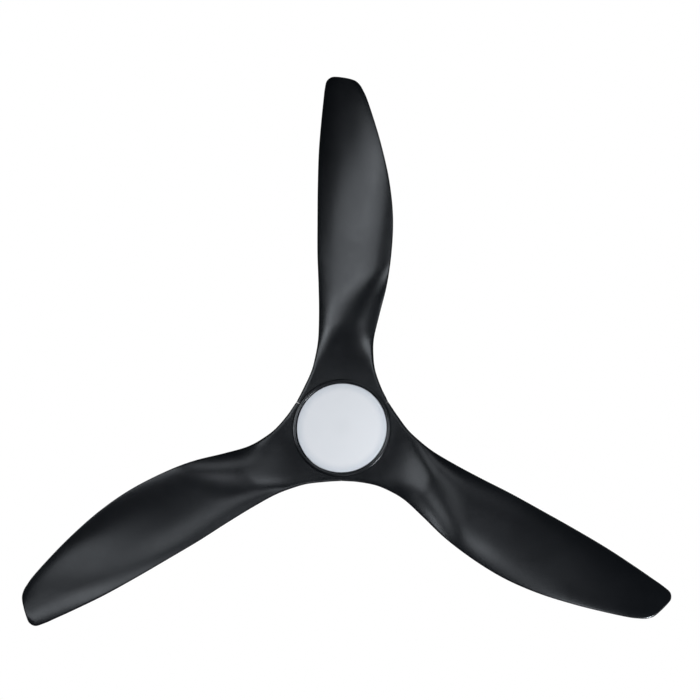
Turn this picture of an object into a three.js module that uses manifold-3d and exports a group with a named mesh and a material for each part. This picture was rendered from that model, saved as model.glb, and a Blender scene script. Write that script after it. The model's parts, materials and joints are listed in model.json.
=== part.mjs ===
// Three-blade ceiling fan with a round LED light, hung from a ceiling bracket by a ball and a short rod.
// Millimetres, +Z up. The origin is the middle of the bracket's top face, which meets the ceiling,
// so everything hangs at negative z. The blades turn about the Z axis.
import * as THREE from "three";
import { mergeVertices } from "three/addons/utils/BufferGeometryUtils.js";
import Module from "manifold-3d";

const wasm = await Module();
wasm.setup();

// ---------------------------------------------------------------- driving dimensions
const TOUCH = 0.3; // gap between pieces that rest on each other
const RUNNING = 2; // gap between turning and standing pieces

const SWEEP_RADIUS = 656; // fan centre to blade tip, a 52 inch fan
const BLADE_COUNT = 3;
const BLADE_THICKNESS = 13;
const BLADE_TIP_THICKNESS = 8;
const BLADE_EDGE = 3; // thickness left at the blade's two edges
const HUB_EDGE = 8; // the same at the hub's edge
const BLADE_PITCH = 8; // degrees, over the wide part of the blade
const TIP_PITCH = 16; // degrees, at the tip
const SEAM_GAP = 1.2; // between neighbouring blade roots

const HUB_RIM = 7; // hub rim beyond the trim ring, at the seams between the blades
const ROOT_PLATE = 8; // blade root plate under the motor
const RIM_DEPTH = 35; // hub rim, from the motor down
const ROOT_BORE_RADIUS = 46;

const RECEIVER_ROOM = 2.1; // receiver's corners to the canopy
const CANOPY_WALL = 2;
const CANOPY_GAP = 2; // canopy edge to the ceiling
const MOUTH_ROOM = 16; // rod to the canopy's mouth
const CANOPY_FLOOR_GAP = 4; // cradle to the canopy's floor

const BRACKET_SHEET = 3;
const BRACKET_WIDTH = 40;
const EAR_WIDTH = 20;
const EAR_HEIGHT = 20;
const CRADLE_WALL = 9;
const CRADLE_HEIGHT = 10;

const BALL_RADIUS = 28;
const SWING_ROOM = 4.32; // rod to the edge of the cradle's opening
const BALL_ROOM = 2; // ball to the boxes beside it
const ROD_HEADROOM = 14; // ceiling to the top of the rod
const ROD_RADIUS = 13;
const ROD_WALL = 2;
const ROD_SHOWN = 14; // rod between the canopy and the coupling cover, which makes it a 4 inch rod
const ROD_STANDOUT = 2; // rod above the ball
const PIN_RADIUS = 3;

const SHAFT_RADIUS = 8.5; // 17 mm bearings
const SHAFT_WALL = 2.8;
const COUPLING_RADIUS = 19;
const ROD_GRIP = 26; // rod inside the coupling
const COVER_RISE = 10; // coupling cover above the coupling
const SHAFT_GRIP = 19; // shaft inside the coupling

const MOTOR_RADIUS = 82;
const MOTOR_HEIGHT = 56;
const MOTOR_WALL = 6;
const MOTOR_PLATE = 2.5;
const BEARING_DEPTH = 11.5; // shaft to the outside of a bearing
const BEARING_WIDTH = 12;
const BEARING_RACE = 2.6; // thickness of each bearing ring
const BEARING_BALLS = 7;
const BOSS_WALL = 4;
const STATOR_TEETH = 12;
const STATOR_HEIGHT = 16;
const MAGNET_THICKNESS = 5;
const AIR_GAP = 1.5;

const LIGHT_STEP = 0; // light housing's radius beyond the motor's
const BLADE_HEAD = 3.4; // height of a blade screw's head
const LIGHT_DEPTH = 19;
const LIGHT_WALL = 2;
const DIFFUSER_STEP = 1.8; // diffuser edge inside the light housing's outside
const DIFFUSER_DOME = 3;
const DIFFUSER_CLEARANCE = 0.8; // diffuser edge to the trim ring
const DIFFUSER_WALL = 2;
const TRIM_WALL = 2.7; // trim ring's sleeve round the light housing
const RECESS_GAP = 1.5; // trim sleeve to the hub's recess
const LIP_COVER = 2; // trim lip past the recess, so that it hides the gap
const LIP_THICKNESS = 2;
const TRIM_DEPTH = 12;
const TRIM_STANDOUT = 3; // trim ring below the hub rim
const LUG_COUNT = 3;

const LEAD_RADIUS = 2.1;
const LEAD_OFFSET = 6; // lead beside the pins that cross the rod

// ---------------------------------------------------------------- levels, from the ceiling down
const lightRadius = MOTOR_RADIUS + LIGHT_STEP;
const diffuserRadius = lightRadius - DIFFUSER_STEP;
const trimSleeveOuter = lightRadius + TOUCH + TRIM_WALL;
const recessRadius = trimSleeveOuter + RECESS_GAP;
const trimRadius = recessRadius + LIP_COVER;
const hubRadius = trimRadius + HUB_RIM;
const ballFlat = Math.sqrt(BALL_RADIUS ** 2 - (ROD_RADIUS + SWING_ROOM) ** 2); // centre to the flat ends
const rodTop = -ROD_HEADROOM;
const ballCentre = rodTop - ROD_STANDOUT - ballFlat;
const cradleBottom = ballCentre - ballFlat;
const canopyBottom = cradleBottom - CANOPY_FLOOR_GAP - CANOPY_WALL;
const bearingOuter = SHAFT_RADIUS + BEARING_DEPTH;
const coverTop = canopyBottom - ROD_SHOWN;
const couplingTop = coverTop - COVER_RISE;
const rodBottom = couplingTop - ROD_GRIP;
const shaftTop = rodBottom - 2 * TOUCH;
const couplingBottom = shaftTop - SHAFT_GRIP;
const motorTop = couplingBottom - RUNNING - 2;
const motorBottom = motorTop - MOTOR_HEIGHT;
const rootTop = motorBottom - TOUCH;
const rootBottom = rootTop - ROOT_PLATE;
const rimBottom = rootTop - RIM_DEPTH;
const bladeMiddle = rimBottom + 1.5; // middle of the blade's thickness, nearly level with the hub rim
const lightTop = rootBottom - BLADE_HEAD - RUNNING - TOUCH;
const lightBottom = lightTop - LIGHT_DEPTH;
const trimBottom = rimBottom - TRIM_STANDOUT;
const trimTop = trimBottom + TRIM_DEPTH;
const mountPlateTop = lightTop + TOUCH + 2.5;

// ---------------------------------------------------------------- finishes
function finish(colour, roughness, metalness) {
  return () => new THREE.MeshStandardMaterial({ color: colour, roughness, metalness });
}
const blackPlastic = finish(0x1d1f22, 0.42, 0);
const blackPaint = finish(0x1a1b1d, 0.5, 0.3);
const zincSteel = finish(0xb9bcc0, 0.35, 0.9);
const bareSteel = finish(0x9a9da2, 0.3, 1);
const castAlloy = finish(0x8e9094, 0.5, 0.9);
const greyNylon = finish(0x3a3c3f, 0.6, 0);
const rubber = finish(0x151515, 0.85, 0);
const copper = finish(0xb0653a, 0.35, 0.9);
const laminations = finish(0x5f6266, 0.45, 0.8);
const magnetic = finish(0x2c2d30, 0.5, 0.4);
const circuitGreen = finish(0x1f5a3a, 0.5, 0);
const whitePlastic = finish(0xe9eaec, 0.45, 0);
const opalPlastic = finish(0xe2e5ea, 0.35, 0);
const leadSleeve = finish(0xd8d8d6, 0.55, 0);

// ---------------------------------------------------------------- geometry helpers
const smooth = (from, to, x) => THREE.MathUtils.smoothstep(x, from, to);
const radians = THREE.MathUtils.degToRad;

/** The closed mesh of a three.js geometry as a solid that can be cut and joined. */
function solid(geometry) {
  const bare = geometry.clone();
  bare.deleteAttribute("normal");
  bare.deleteAttribute("uv");
  const merged = mergeVertices(bare, 1e-3);
  return new wasm.Manifold(
    new wasm.Mesh({
      numProp: 3,
      vertProperties: new Float32Array(merged.attributes.position.array),
      triVerts: new Uint32Array(merged.index.array),
    }),
  );
}

/** A solid back as a three.js geometry. */
function geometryOf(shape) {
  const mesh = shape.getMesh();
  const geometry = new THREE.BufferGeometry();
  const places = new Float32Array(mesh.numVert * 3);
  for (let i = 0; i < mesh.numVert; i++) {
    places.set(mesh.vertProperties.subarray(i * mesh.numProp, i * mesh.numProp + 3), i * 3);
  }
  geometry.setAttribute("position", new THREE.BufferAttribute(places, 3));
  geometry.setIndex(new THREE.BufferAttribute(mesh.triVerts, 1));
  geometry.computeVertexNormals();
  return geometry;
}

/** Turns a closed profile of [radius, z] points about the Z axis. */
function revolve(profile, segments = 36) {
  const points = profile.map(([radius, z]) => new THREE.Vector2(radius, z));
  if (THREE.ShapeUtils.area(points) < 0) points.reverse();
  const onAxis = points[0].x === 0 && points.at(-1).x === 0;
  if (!onAxis) points.push(points[0].clone());
  return new THREE.LatheGeometry(points, segments).rotateX(Math.PI / 2);
}

/** A ring or sleeve between two radii and two levels. */
function sleeve(inner, outer, low, high, segments = 32) {
  return revolve([[inner, low], [outer, low], [outer, high], [inner, high]], segments);
}

/** A solid disc or bar about the Z axis. */
function disc(radius, low, high, segments = 24) {
  return revolve([[0, low], [radius, low], [radius, high], [0, high]], segments);
}

/** A box given by its size and the middle of its volume. */
function block(width, depth, height, x = 0, y = 0, z = 0) {
  return new THREE.BoxGeometry(width, depth, height).translate(x, y, z);
}

/** A bar of round section along X or Y through a point. */
function crossBar(radius, length, along, x = 0, y = 0, z = 0, segments = 12) {
  const bar = new THREE.CylinderGeometry(radius, radius, length, segments);
  if (along === "x") bar.rotateZ(-Math.PI / 2);
  return bar.translate(x, y, z);
}

/** A bar of round section along a smooth route. */
function lead(points, radius, steps) {
  const route = new THREE.CatmullRomCurve3(points.map((p) => new THREE.Vector3(...p)));
  const section = new THREE.Shape();
  section.absarc(0, 0, radius, 0, 2 * Math.PI);
  return new THREE.ExtrudeGeometry(section, {
    extrudePath: route,
    steps,
    curveSegments: 4,
    bevelEnabled: false,
  });
}

/** Joins the first geometry to the others. */
function join(...geometries) {
  return geometries.map(solid).reduce((whole, next) => whole.add(next));
}

/** Cuts each of the geometries out of a solid. */
function cut(shape, ...geometries) {
  return geometries.map(solid).reduce((whole, next) => whole.subtract(next), shape);
}

/** A pan-head screw pointing along +Z, its head's underside at z = 0. */
function screw(shankRadius, length, headRadius, headHeight) {
  return revolve(
    [
      [0, -headHeight],
      [headRadius * 0.7, -headHeight],
      [headRadius, 0],
      [shankRadius, 0],
      [shankRadius, length],
      [0, length],
    ],
    10,
  );
}

/** Names a mesh, gives it its finish and hangs it in its group. */
function part(group, name, geometry, material) {
  const mesh = new THREE.Mesh(geometry.isBufferGeometry ? geometry : geometryOf(geometry), material());
  mesh.name = name;
  group.add(mesh);
  return mesh;
}

/** Polar place about the Z axis. */
function around(radius, degrees, z = 0) {
  return new THREE.Vector3(radius * Math.cos(radians(degrees)), radius * Math.sin(radians(degrees)), z);
}

const fan = new THREE.Group();
const ceilingGroup = new THREE.Group();
const hangingGroup = new THREE.Group();
const rotorGroup = new THREE.Group();
const lightGroup = new THREE.Group();
hangingGroup.add(rotorGroup, lightGroup);
fan.add(ceilingGroup, hangingGroup);

// ---------------------------------------------------------------- ceiling bracket and canopy
const RECEIVER = { width: 50, depth: 20, height: 26 };
const TERMINAL = { width: 34, depth: 16, height: 12 };
const shelfReach = BALL_RADIUS + BALL_ROOM + RECEIVER.depth; // side shelves for the receiver and the terminal block
const canopyInside = Math.hypot(RECEIVER.width / 2, shelfReach) + RECEIVER_ROOM;
const canopyRadius = canopyInside + CANOPY_WALL;
const canopyMouth = ROD_RADIUS + MOUTH_ROOM;
const EAR_CLEARANCE = 1;
const PLATE_CLEARANCE = 9; // plate's wide middle to the canopy
const plateReach = canopyInside - PLATE_CLEARANCE;
const earOutside = Math.sqrt(canopyInside ** 2 - (EAR_WIDTH / 2) ** 2) - EAR_CLEARANCE;
const earScrewLevel = -CANOPY_GAP - 12;
const CANOPY_SCREW_RADIUS = 2;
const CANOPY_SCREW_LENGTH = 12;
const CEILING_SLOT_RADIUS = 3;
const cradleTop = cradleBottom + CRADLE_HEIGHT;
const cradleRadius = BALL_RADIUS + CRADLE_WALL;
const SLOT_CLEARANCE = 5; // ceiling slots to the bracket's legs
const ceilingSlotPlace = cradleRadius + SLOT_CLEARANCE;
const SHELF_WIDTH = 40;
const KEY_WIDTH = 5;
const KEY_CLEARANCE = 0.7;
const EARTH_SCREW_ROOM = 4.1; // earth screw's middle to the ear
const earthScrewPlace = earOutside - BRACKET_SHEET - EARTH_SCREW_ROOM;

/** Radius of the ball's surface at a height above its centre. */
const ballRadiusAt = (height) => Math.sqrt(BALL_RADIUS ** 2 - height ** 2);

/** The cup that carries the ball: its inner wall follows the ball's surface. */
function cradleProfile() {
  const seat = [];
  const steps = 3;
  for (let i = 0; i <= steps; i++) {
    const z = cradleBottom + (CRADLE_HEIGHT * i) / steps;
    const radius = Math.sqrt((BALL_RADIUS + 2 * TOUCH) ** 2 - (z - ballCentre) ** 2);
    seat.push([radius, z]);
  }
  return [...seat, [cradleRadius, cradleTop], [cradleRadius, cradleBottom]];
}

function hangingBracket() {
  const legHeight = -cradleBottom;
  const legX = cradleRadius - BRACKET_SHEET / 2;
  const plate = block(2 * plateReach, BRACKET_WIDTH, BRACKET_SHEET, 0, 0, -BRACKET_SHEET / 2);
  const arms = block(2 * earOutside, EAR_WIDTH, BRACKET_SHEET, 0, 0, -BRACKET_SHEET / 2);
  const shelf = block(SHELF_WIDTH, 2 * shelfReach, BRACKET_SHEET, 0, 0, -BRACKET_SHEET / 2);
  const sides = [-1, 1].flatMap((side) => [
    block(BRACKET_SHEET, EAR_WIDTH, EAR_HEIGHT, side * (earOutside - BRACKET_SHEET / 2), 0, -EAR_HEIGHT / 2),
    block(BRACKET_SHEET, 24, legHeight, side * legX, 0, -legHeight / 2),
  ]);
  const keyOuter = cradleRadius - 2;
  const keyInner = BALL_RADIUS - 8;
  const key = block(KEY_WIDTH, keyOuter - keyInner, CRADLE_HEIGHT - 2, 0, -(keyOuter + keyInner) / 2,
    (cradleTop + cradleBottom) / 2);
  const body = join(plate, arms, shelf, ...sides, revolve(cradleProfile(), 32), key);
  const mouthWidth = 2 * (ROD_RADIUS + 1);
  const cuts = [
    block(mouthWidth, cradleRadius + 2, CRADLE_HEIGHT + 2, 0, (cradleRadius + 2) / 2, (cradleTop + cradleBottom) / 2),
    disc(2, -BRACKET_SHEET - 1, 1, 12).translate(earthScrewPlace, 0, 0),
  ];
  for (const side of [-1, 1]) {
    const slotX = side * ceilingSlotPlace;
    cuts.push(disc(CEILING_SLOT_RADIUS, -BRACKET_SHEET - 1, 1, 12).translate(slotX, -4, 0));
    cuts.push(disc(CEILING_SLOT_RADIUS, -BRACKET_SHEET - 1, 1, 12).translate(slotX, 4, 0));
    cuts.push(block(2 * CEILING_SLOT_RADIUS, 8, BRACKET_SHEET + 2, slotX, 0, -BRACKET_SHEET / 2));
    cuts.push(crossBar(CANOPY_SCREW_RADIUS + TOUCH, 12, "x", side * earOutside, 0, earScrewLevel));
  }
  return cut(body, ...cuts);
}
part(ceilingGroup, "hanging_bracket", hangingBracket(), zincSteel);

function canopyShell() {
  const top = -CANOPY_GAP;
  const shoulder = canopyBottom + (top - canopyBottom) * 0.45;
  const curve = (inset, steps) => {
    const points = [];
    for (let i = 0; i <= steps; i++) {
      const angle = ((Math.PI / 2) * i) / steps;
      const radius = canopyMouth + (canopyRadius - inset - canopyMouth) * Math.sin(angle);
      const z = shoulder - (shoulder - canopyBottom - inset) * Math.cos(angle);
      points.push([radius, z]);
    }
    return points;
  };
  const outside = [...curve(0, 5), [canopyRadius, top]];
  const inside = [...curve(CANOPY_WALL, 5), [canopyInside, top]];
  const holes = [-1, 1].map((side) =>
    crossBar(CANOPY_SCREW_RADIUS + TOUCH, 12, "x", side * canopyRadius, 0, earScrewLevel));
  return cut(solid(revolve([...outside, ...inside.reverse()], 26)), ...holes);
}
part(ceilingGroup, "canopy", canopyShell(), blackPaint);

for (const [index, side] of [1, -1].entries()) {
  const mesh = part(ceilingGroup, `canopy_screw_${index + 1}`,
    screw(CANOPY_SCREW_RADIUS, CANOPY_SCREW_LENGTH, 3.6, 2.2), blackPaint);
  mesh.rotation.y = (-side * Math.PI) / 2;
  mesh.position.set(side * (canopyRadius + TOUCH), 0, earScrewLevel);
}

const shelfUnderside = -BRACKET_SHEET - TOUCH;
const receiverY = shelfReach - RECEIVER.depth / 2;
part(ceilingGroup, "receiver_module",
  block(RECEIVER.width, RECEIVER.depth, RECEIVER.height, 0, receiverY, shelfUnderside - RECEIVER.height / 2),
  greyNylon);

const terminalY = -(shelfReach - TERMINAL.depth / 2);
const TERMINAL_SCREW_PITCH = 10;
function terminalBlock() {
  const body = block(TERMINAL.width, TERMINAL.depth, TERMINAL.height, 0, terminalY,
    shelfUnderside - TERMINAL.height / 2);
  const wells = [-1, 0, 1].map((step) =>
    disc(2.8, -6, 1, 12).translate(step * TERMINAL_SCREW_PITCH, terminalY, shelfUnderside - TERMINAL.height));
  return cut(solid(body), ...wells.map((well) => well.translate(0, 0, 5)));
}
part(ceilingGroup, "terminal_block", terminalBlock(), whitePlastic);
for (const [index, step] of [-1, 0, 1].entries()) {
  const mesh = part(ceilingGroup, `terminal_screw_${index + 1}`, disc(2.4, 0, 3, 12), zincSteel);
  mesh.position.set(step * TERMINAL_SCREW_PITCH, terminalY, shelfUnderside - TERMINAL.height + 2);
}

const earthScrew = part(ceilingGroup, "earth_screw", screw(1.7, BRACKET_SHEET, 3.4, 2), zincSteel);
earthScrew.position.set(earthScrewPlace, 0, -BRACKET_SHEET - TOUCH);

const supplyLevel = shelfUnderside - 8;
const supplyReach = cradleRadius + 8;
part(ceilingGroup, "supply_lead", lead([
  [TERMINAL.width / 2 + TOUCH, terminalY, supplyLevel],
  [TERMINAL.width / 2 + 6, terminalY, supplyLevel],
  [TERMINAL.width / 2 + 15, terminalY + 5, supplyLevel - 2],
  [supplyReach, -20, supplyLevel - 8],
  [supplyReach + 1, 0, supplyLevel - 12],
  [supplyReach, 20, supplyLevel - 8],
  [RECEIVER.width / 2 + 11, receiverY - 5, supplyLevel - 2],
  [RECEIVER.width / 2 + 5, receiverY, supplyLevel],
  [RECEIVER.width / 2 + TOUCH, receiverY, supplyLevel],
], LEAD_RADIUS, 14), leadSleeve);

const receiverFace = receiverY - RECEIVER.depth / 2 - TOUCH;
part(ceilingGroup, "canopy_lead", lead([
  [LEAD_OFFSET + 5, receiverFace, shelfUnderside - 11],
  [LEAD_OFFSET + 5, receiverFace - 8, shelfUnderside - 10],
  [LEAD_OFFSET + 2, 15, rodTop + 6.4],
  [LEAD_OFFSET, 6, rodTop + 6],
  [LEAD_OFFSET, 0.6, rodTop],
  [LEAD_OFFSET, 0, rodTop - 8],
  [LEAD_OFFSET, 0, ballCentre + TOUCH],
], LEAD_RADIUS, 14), leadSleeve);

// ---------------------------------------------------------------- hanger ball and rod
const pinLevel = ballCentre + 11;
function hangerBall() {
  const arc = [];
  const steps = 6;
  const flatAngle = Math.asin(ballFlat / BALL_RADIUS);
  for (let i = 0; i <= steps; i++) {
    const angle = -flatAngle + (2 * flatAngle * i) / steps;
    arc.push([BALL_RADIUS * Math.cos(angle), ballCentre + BALL_RADIUS * Math.sin(angle)]);
  }
  const bore = ROD_RADIUS + TOUCH;
  const ball = solid(revolve([[bore, ballCentre - ballFlat], ...arc, [bore, ballCentre + ballFlat]], 28));
  const slotBottom = pinLevel - PIN_RADIUS - TOUCH;
  const pinSlot = block(2 * (PIN_RADIUS + TOUCH), 3 * BALL_RADIUS, 40, 0, 0, slotBottom + 20);
  const keyway = block(KEY_WIDTH + 2 * KEY_CLEARANCE, 20, 23, 0, -(BALL_RADIUS - 11 + 10),
    ballCentre - 7 - 23 / 2);
  return cut(ball, pinSlot, keyway);
}
part(hangingGroup, "hanger_ball", hangerBall(), greyNylon);
const ballPinLength = 2 * ballRadiusAt(pinLevel - ballCentre) - 3;
part(hangingGroup, "ball_pin", crossBar(PIN_RADIUS, ballPinLength, "y", 0, 0, pinLevel), bareSteel);

const clevisLevel = rodBottom + 14;
const downrod = cut(
  solid(sleeve(ROD_RADIUS - ROD_WALL, ROD_RADIUS, rodBottom, rodTop, 24)),
  crossBar(PIN_RADIUS + TOUCH, 60, "y", 0, 0, pinLevel),
  crossBar(PIN_RADIUS + TOUCH, 60, "y", 0, 0, clevisLevel),
);
part(hangingGroup, "downrod", downrod, blackPaint);

// ---------------------------------------------------------------- coupling to the motor shaft
const SET_SCREW_RADIUS = 3;
const shaftScrewLevel = couplingBottom + 9;
const shaftScrewReach = SHAFT_RADIUS + TOUCH;
const rodScrewReach = ROD_RADIUS + TOUCH;
function coupling() {
  const rodBore = ROD_RADIUS + TOUCH;
  const shaftBore = SHAFT_RADIUS + TOUCH;
  const step = rodBottom - TOUCH;
  const body = solid(revolve([
    [shaftBore, couplingBottom],
    [COUPLING_RADIUS - 1, couplingBottom],
    [COUPLING_RADIUS, couplingBottom + 1],
    [COUPLING_RADIUS, couplingTop - 1],
    [COUPLING_RADIUS - 1, couplingTop],
    [rodBore, couplingTop],
    [rodBore, step],
    [shaftBore, step],
  ], 24));
  const holeLength = COUPLING_RADIUS;
  return cut(body,
    crossBar(PIN_RADIUS + TOUCH, 60, "y", 0, 0, clevisLevel),
    crossBar(SET_SCREW_RADIUS + TOUCH, holeLength, "x", holeLength / 2 + 2, 0, clevisLevel),
    crossBar(SET_SCREW_RADIUS + TOUCH, holeLength + 4, "x", -(holeLength + 4) / 2, 0, shaftScrewLevel));
}
part(hangingGroup, "shaft_coupling", coupling(), castAlloy);

const SET_SCREW_LENGTH = 8;
const setScrew = crossBar(SET_SCREW_RADIUS, SET_SCREW_LENGTH, "x", 0, 0, 0, 12);
part(hangingGroup, "coupling_screw_1", setScrew.clone(), zincSteel)
  .position.set(rodScrewReach + SET_SCREW_LENGTH / 2, 0, clevisLevel);
part(hangingGroup, "coupling_screw_2", setScrew.clone(), zincSteel)
  .position.set(-(shaftScrewReach + SET_SCREW_LENGTH / 2), 0, shaftScrewLevel);

const CLEVIS_HEAD = 2.5;
const clevisReach = COUPLING_RADIUS + 7;
const clipPlace = COUPLING_RADIUS + 3.5;
const CLIP_WIRE = 0.8;
const clevisPin = cut(
  join(
    crossBar(PIN_RADIUS, clevisReach + COUPLING_RADIUS + TOUCH, "y", 0, (clevisReach - COUPLING_RADIUS - TOUCH) / 2),
    crossBar(PIN_RADIUS + 1.5, CLEVIS_HEAD, "y", 0, -(COUPLING_RADIUS + TOUCH + CLEVIS_HEAD / 2)),
  ),
  disc(CLIP_WIRE + TOUCH, -6, 6, 8).translate(0, clipPlace, 0),
);
part(hangingGroup, "clevis_pin", clevisPin, zincSteel).position.z = clevisLevel;

const clipBow = PIN_RADIUS + 1.6;
part(hangingGroup, "clevis_clip", lead([
  [0, clipPlace, 8],
  [0, clipPlace, 0],
  [0, clipPlace, -9],
  [0, clipPlace + clipBow * 0.6, -11.5],
  [0, clipPlace + clipBow + 1.2, -9],
  [0, clipPlace + clipBow + 1.2, 0],
  [0, clipPlace + clipBow + 1, 6],
], CLIP_WIRE, 16), bareSteel).position.z = clevisLevel;

const coverBottom = motorTop + RUNNING;
const COVER_WALL = 2;
const COVER_BOTTOM_RADIUS = 50;
const GROMMET_WALL = 2.4;
const COVER_CLEARANCE = 2; // around the clevis clip
const coverTopRadius = clipPlace + clipBow + 1.2 + CLIP_WIRE + COVER_CLEARANCE + COVER_WALL;
const coverHole = ROD_RADIUS + TOUCH + GROMMET_WALL;
function couplingCover() {
  const side = (inset) => {
    const points = [];
    const steps = 5;
    for (let i = 0; i <= steps; i++) {
      const share = i / steps;
      const flare = 1 - Math.cos((Math.PI / 2) * share);
      const low = coverTop - inset;
      points.push([
        coverTopRadius - inset * 0.5 + (COVER_BOTTOM_RADIUS - coverTopRadius - inset * 0.5) * flare,
        low + (coverBottom - low) * Math.sin((Math.PI / 2) * share),
      ]);
    }
    return points;
  };
  const outside = side(0);
  const inside = side(COVER_WALL).reverse();
  return revolve([[coverHole, coverTop], ...outside, ...inside, [coverHole, coverTop - COVER_WALL]], 24);
}
part(hangingGroup, "coupling_cover", couplingCover(), blackPlastic);

const grommetGroove = coverHole - TOUCH;
part(hangingGroup, "cover_grommet", revolve([
  [ROD_RADIUS + TOUCH, coverTop - COVER_WALL - 2],
  [grommetGroove + 1.6, coverTop - COVER_WALL - 2],
  [grommetGroove + 1.6, coverTop - COVER_WALL - TOUCH],
  [grommetGroove, coverTop - COVER_WALL - TOUCH],
  [grommetGroove, coverTop + TOUCH],
  [grommetGroove + 1.6, coverTop + TOUCH],
  [grommetGroove + 1, coverTop + 2],
  [ROD_RADIUS + TOUCH, coverTop + 2],
], 20), rubber);

// ---------------------------------------------------------------- motor: standing pieces
const upperBearingTop = motorTop - MOTOR_PLATE - TOUCH;
const upperBearingBottom = upperBearingTop - BEARING_WIDTH;
const lowerBearingBottom = motorBottom + MOTOR_PLATE + TOUCH;
const lowerBearingTop = lowerBearingBottom + BEARING_WIDTH;
const statorMiddle = (upperBearingBottom + lowerBearingTop) / 2;
const statorTop = statorMiddle + STATOR_HEIGHT / 2;
const statorBottom = statorTop - STATOR_HEIGHT;
const magnetOuter = MOTOR_RADIUS - MOTOR_WALL - TOUCH;
const magnetInner = magnetOuter - MAGNET_THICKNESS;
const statorRadius = magnetInner - AIR_GAP;
const innerRace = SHAFT_RADIUS + TOUCH;
const NUT_HEIGHT = 7;
const shaftBottom = lightTop - NUT_HEIGHT + 1;

part(hangingGroup, "motor_shaft",
  sleeve(SHAFT_RADIUS - SHAFT_WALL, SHAFT_RADIUS, shaftBottom, shaftTop, 20), bareSteel);

const spacerTop = lowerBearingBottom - TOUCH;
part(hangingGroup, "lower_spacer",
  sleeve(innerRace, innerRace + 3.5, mountPlateTop + TOUCH, spacerTop, 20), zincSteel);

for (const [name, low] of [["upper", upperBearingBottom], ["lower", lowerBearingBottom]]) {
  part(hangingGroup, `${name}_bearing_inner`,
    sleeve(innerRace, innerRace + BEARING_RACE, low, low + BEARING_WIDTH, 24), bareSteel);
}

const COIL_INNER = 36;
const COIL_CLEARANCE = 9.2; // coils to the stator's rim
const coilOuter = statorRadius - COIL_CLEARANCE;
const TOOTH_WIDTH = 9;
const COIL_WALL = 4;
const STATOR_HUB = 24;
function stator() {
  const yoke = sleeve(innerRace, STATOR_HUB + 6, statorBottom, statorTop, 24);
  const pieces = [yoke];
  for (let i = 0; i < STATOR_TEETH; i++) {
    const angle = (360 * i) / STATOR_TEETH;
    const tooth = block(statorRadius - STATOR_HUB - 4, TOOTH_WIDTH, STATOR_HEIGHT,
      (statorRadius + STATOR_HUB - 4) / 2, 0, statorMiddle);
    const halfShoe = 360 / STATOR_TEETH / 2 - 2;
    const shoe = new THREE.Shape();
    shoe.absarc(0, 0, statorRadius, radians(-halfShoe), radians(halfShoe), false);
    shoe.absarc(0, 0, statorRadius - 4, radians(halfShoe), radians(-halfShoe), true);
    const shoeGeometry = new THREE.ExtrudeGeometry(shoe, {
      depth: STATOR_HEIGHT,
      curveSegments: 1,
      bevelEnabled: false,
    }).translate(0, 0, statorBottom);
    pieces.push(tooth.rotateZ(radians(angle)), shoeGeometry.rotateZ(radians(angle)));
  }
  return join(...pieces);
}
part(hangingGroup, "stator_core", stator(), laminations);

const coilHeight = STATOR_HEIGHT + 2 * COIL_WALL;
function winding() {
  const ringHeight = 2;
  const ring = sleeve(COIL_INNER - 4, COIL_INNER + 3, statorTop + TOUCH, statorTop + TOUCH + ringHeight, 24);
  const pieces = [ring];
  const openings = [];
  for (let i = 0; i < STATOR_TEETH; i++) {
    const turn = radians((360 * i) / STATOR_TEETH);
    const middle = (COIL_INNER + coilOuter) / 2;
    const coilWidth = TOOTH_WIDTH + 2 * COIL_WALL;
    pieces.push(block(coilOuter - COIL_INNER, coilWidth, coilHeight, middle, 0, statorMiddle).rotateZ(turn));
    openings.push(block(coilOuter - COIL_INNER + 6, TOOTH_WIDTH + 2 * TOUCH, STATOR_HEIGHT + 2 * TOUCH,
      middle, 0, statorMiddle).rotateZ(turn));
  }
  return cut(join(...pieces), ...openings);
}
part(hangingGroup, "stator_winding", winding(), copper);

const boardTop = statorMiddle - coilHeight / 2 - TOUCH;
part(hangingGroup, "motor_board",
  sleeve(bearingOuter + TOUCH + BOSS_WALL + RUNNING, coilOuter - 4, boardTop - 1.6, boardTop, 28),
  circuitGreen);

// ---------------------------------------------------------------- motor: turning pieces
const splitLevel = (motorTop + motorBottom) / 2;
const bossInner = bearingOuter + TOUCH;
const bossOuter = bossInner + BOSS_WALL;
const shaftHole = innerRace + BEARING_RACE + RUNNING;
const HOUSING_SCREWS = 3;
const HOUSING_SCREW_RADIUS = 1.8;
const HOUSING_SCREW_LENGTH = 40;
const housingScrewCircle = MOTOR_RADIUS - MOTOR_WALL / 2;
const BLADE_SCREW_INSET = 16; // blade screws inside the motor's edge
const bladeScrewCircle = MOTOR_RADIUS - BLADE_SCREW_INSET;
const BLADE_SCREW_ANGLE = 24; // degrees either side of the blade's axis
const BLADE_SCREW_RADIUS = 2.4;
const BLADE_SCREW_LENGTH = 14;
const BLADE_BOSS_RADIUS = 5;

/** Profile of one half of the motor housing, drawn from its outer plate towards the split. */
function housingProfile(plateFace, into) {
  const wallEnd = splitLevel - (into * TOUCH) / 2;
  const edge = 3;
  return [
    [shaftHole, plateFace],
    [MOTOR_RADIUS - edge, plateFace],
    [MOTOR_RADIUS - edge * 0.3, plateFace + into * edge * 0.3],
    [MOTOR_RADIUS, plateFace + into * edge],
    [MOTOR_RADIUS, wallEnd],
    [MOTOR_RADIUS - MOTOR_WALL, wallEnd],
    [MOTOR_RADIUS - MOTOR_WALL, plateFace + into * MOTOR_PLATE],
    [bossOuter, plateFace + into * MOTOR_PLATE],
    [bossOuter, plateFace + into * (MOTOR_PLATE + BEARING_WIDTH + TOUCH)],
    [bossInner, plateFace + into * (MOTOR_PLATE + BEARING_WIDTH + TOUCH)],
    [bossInner, plateFace + into * MOTOR_PLATE],
    [shaftHole, plateFace + into * MOTOR_PLATE],
  ];
}

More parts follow.
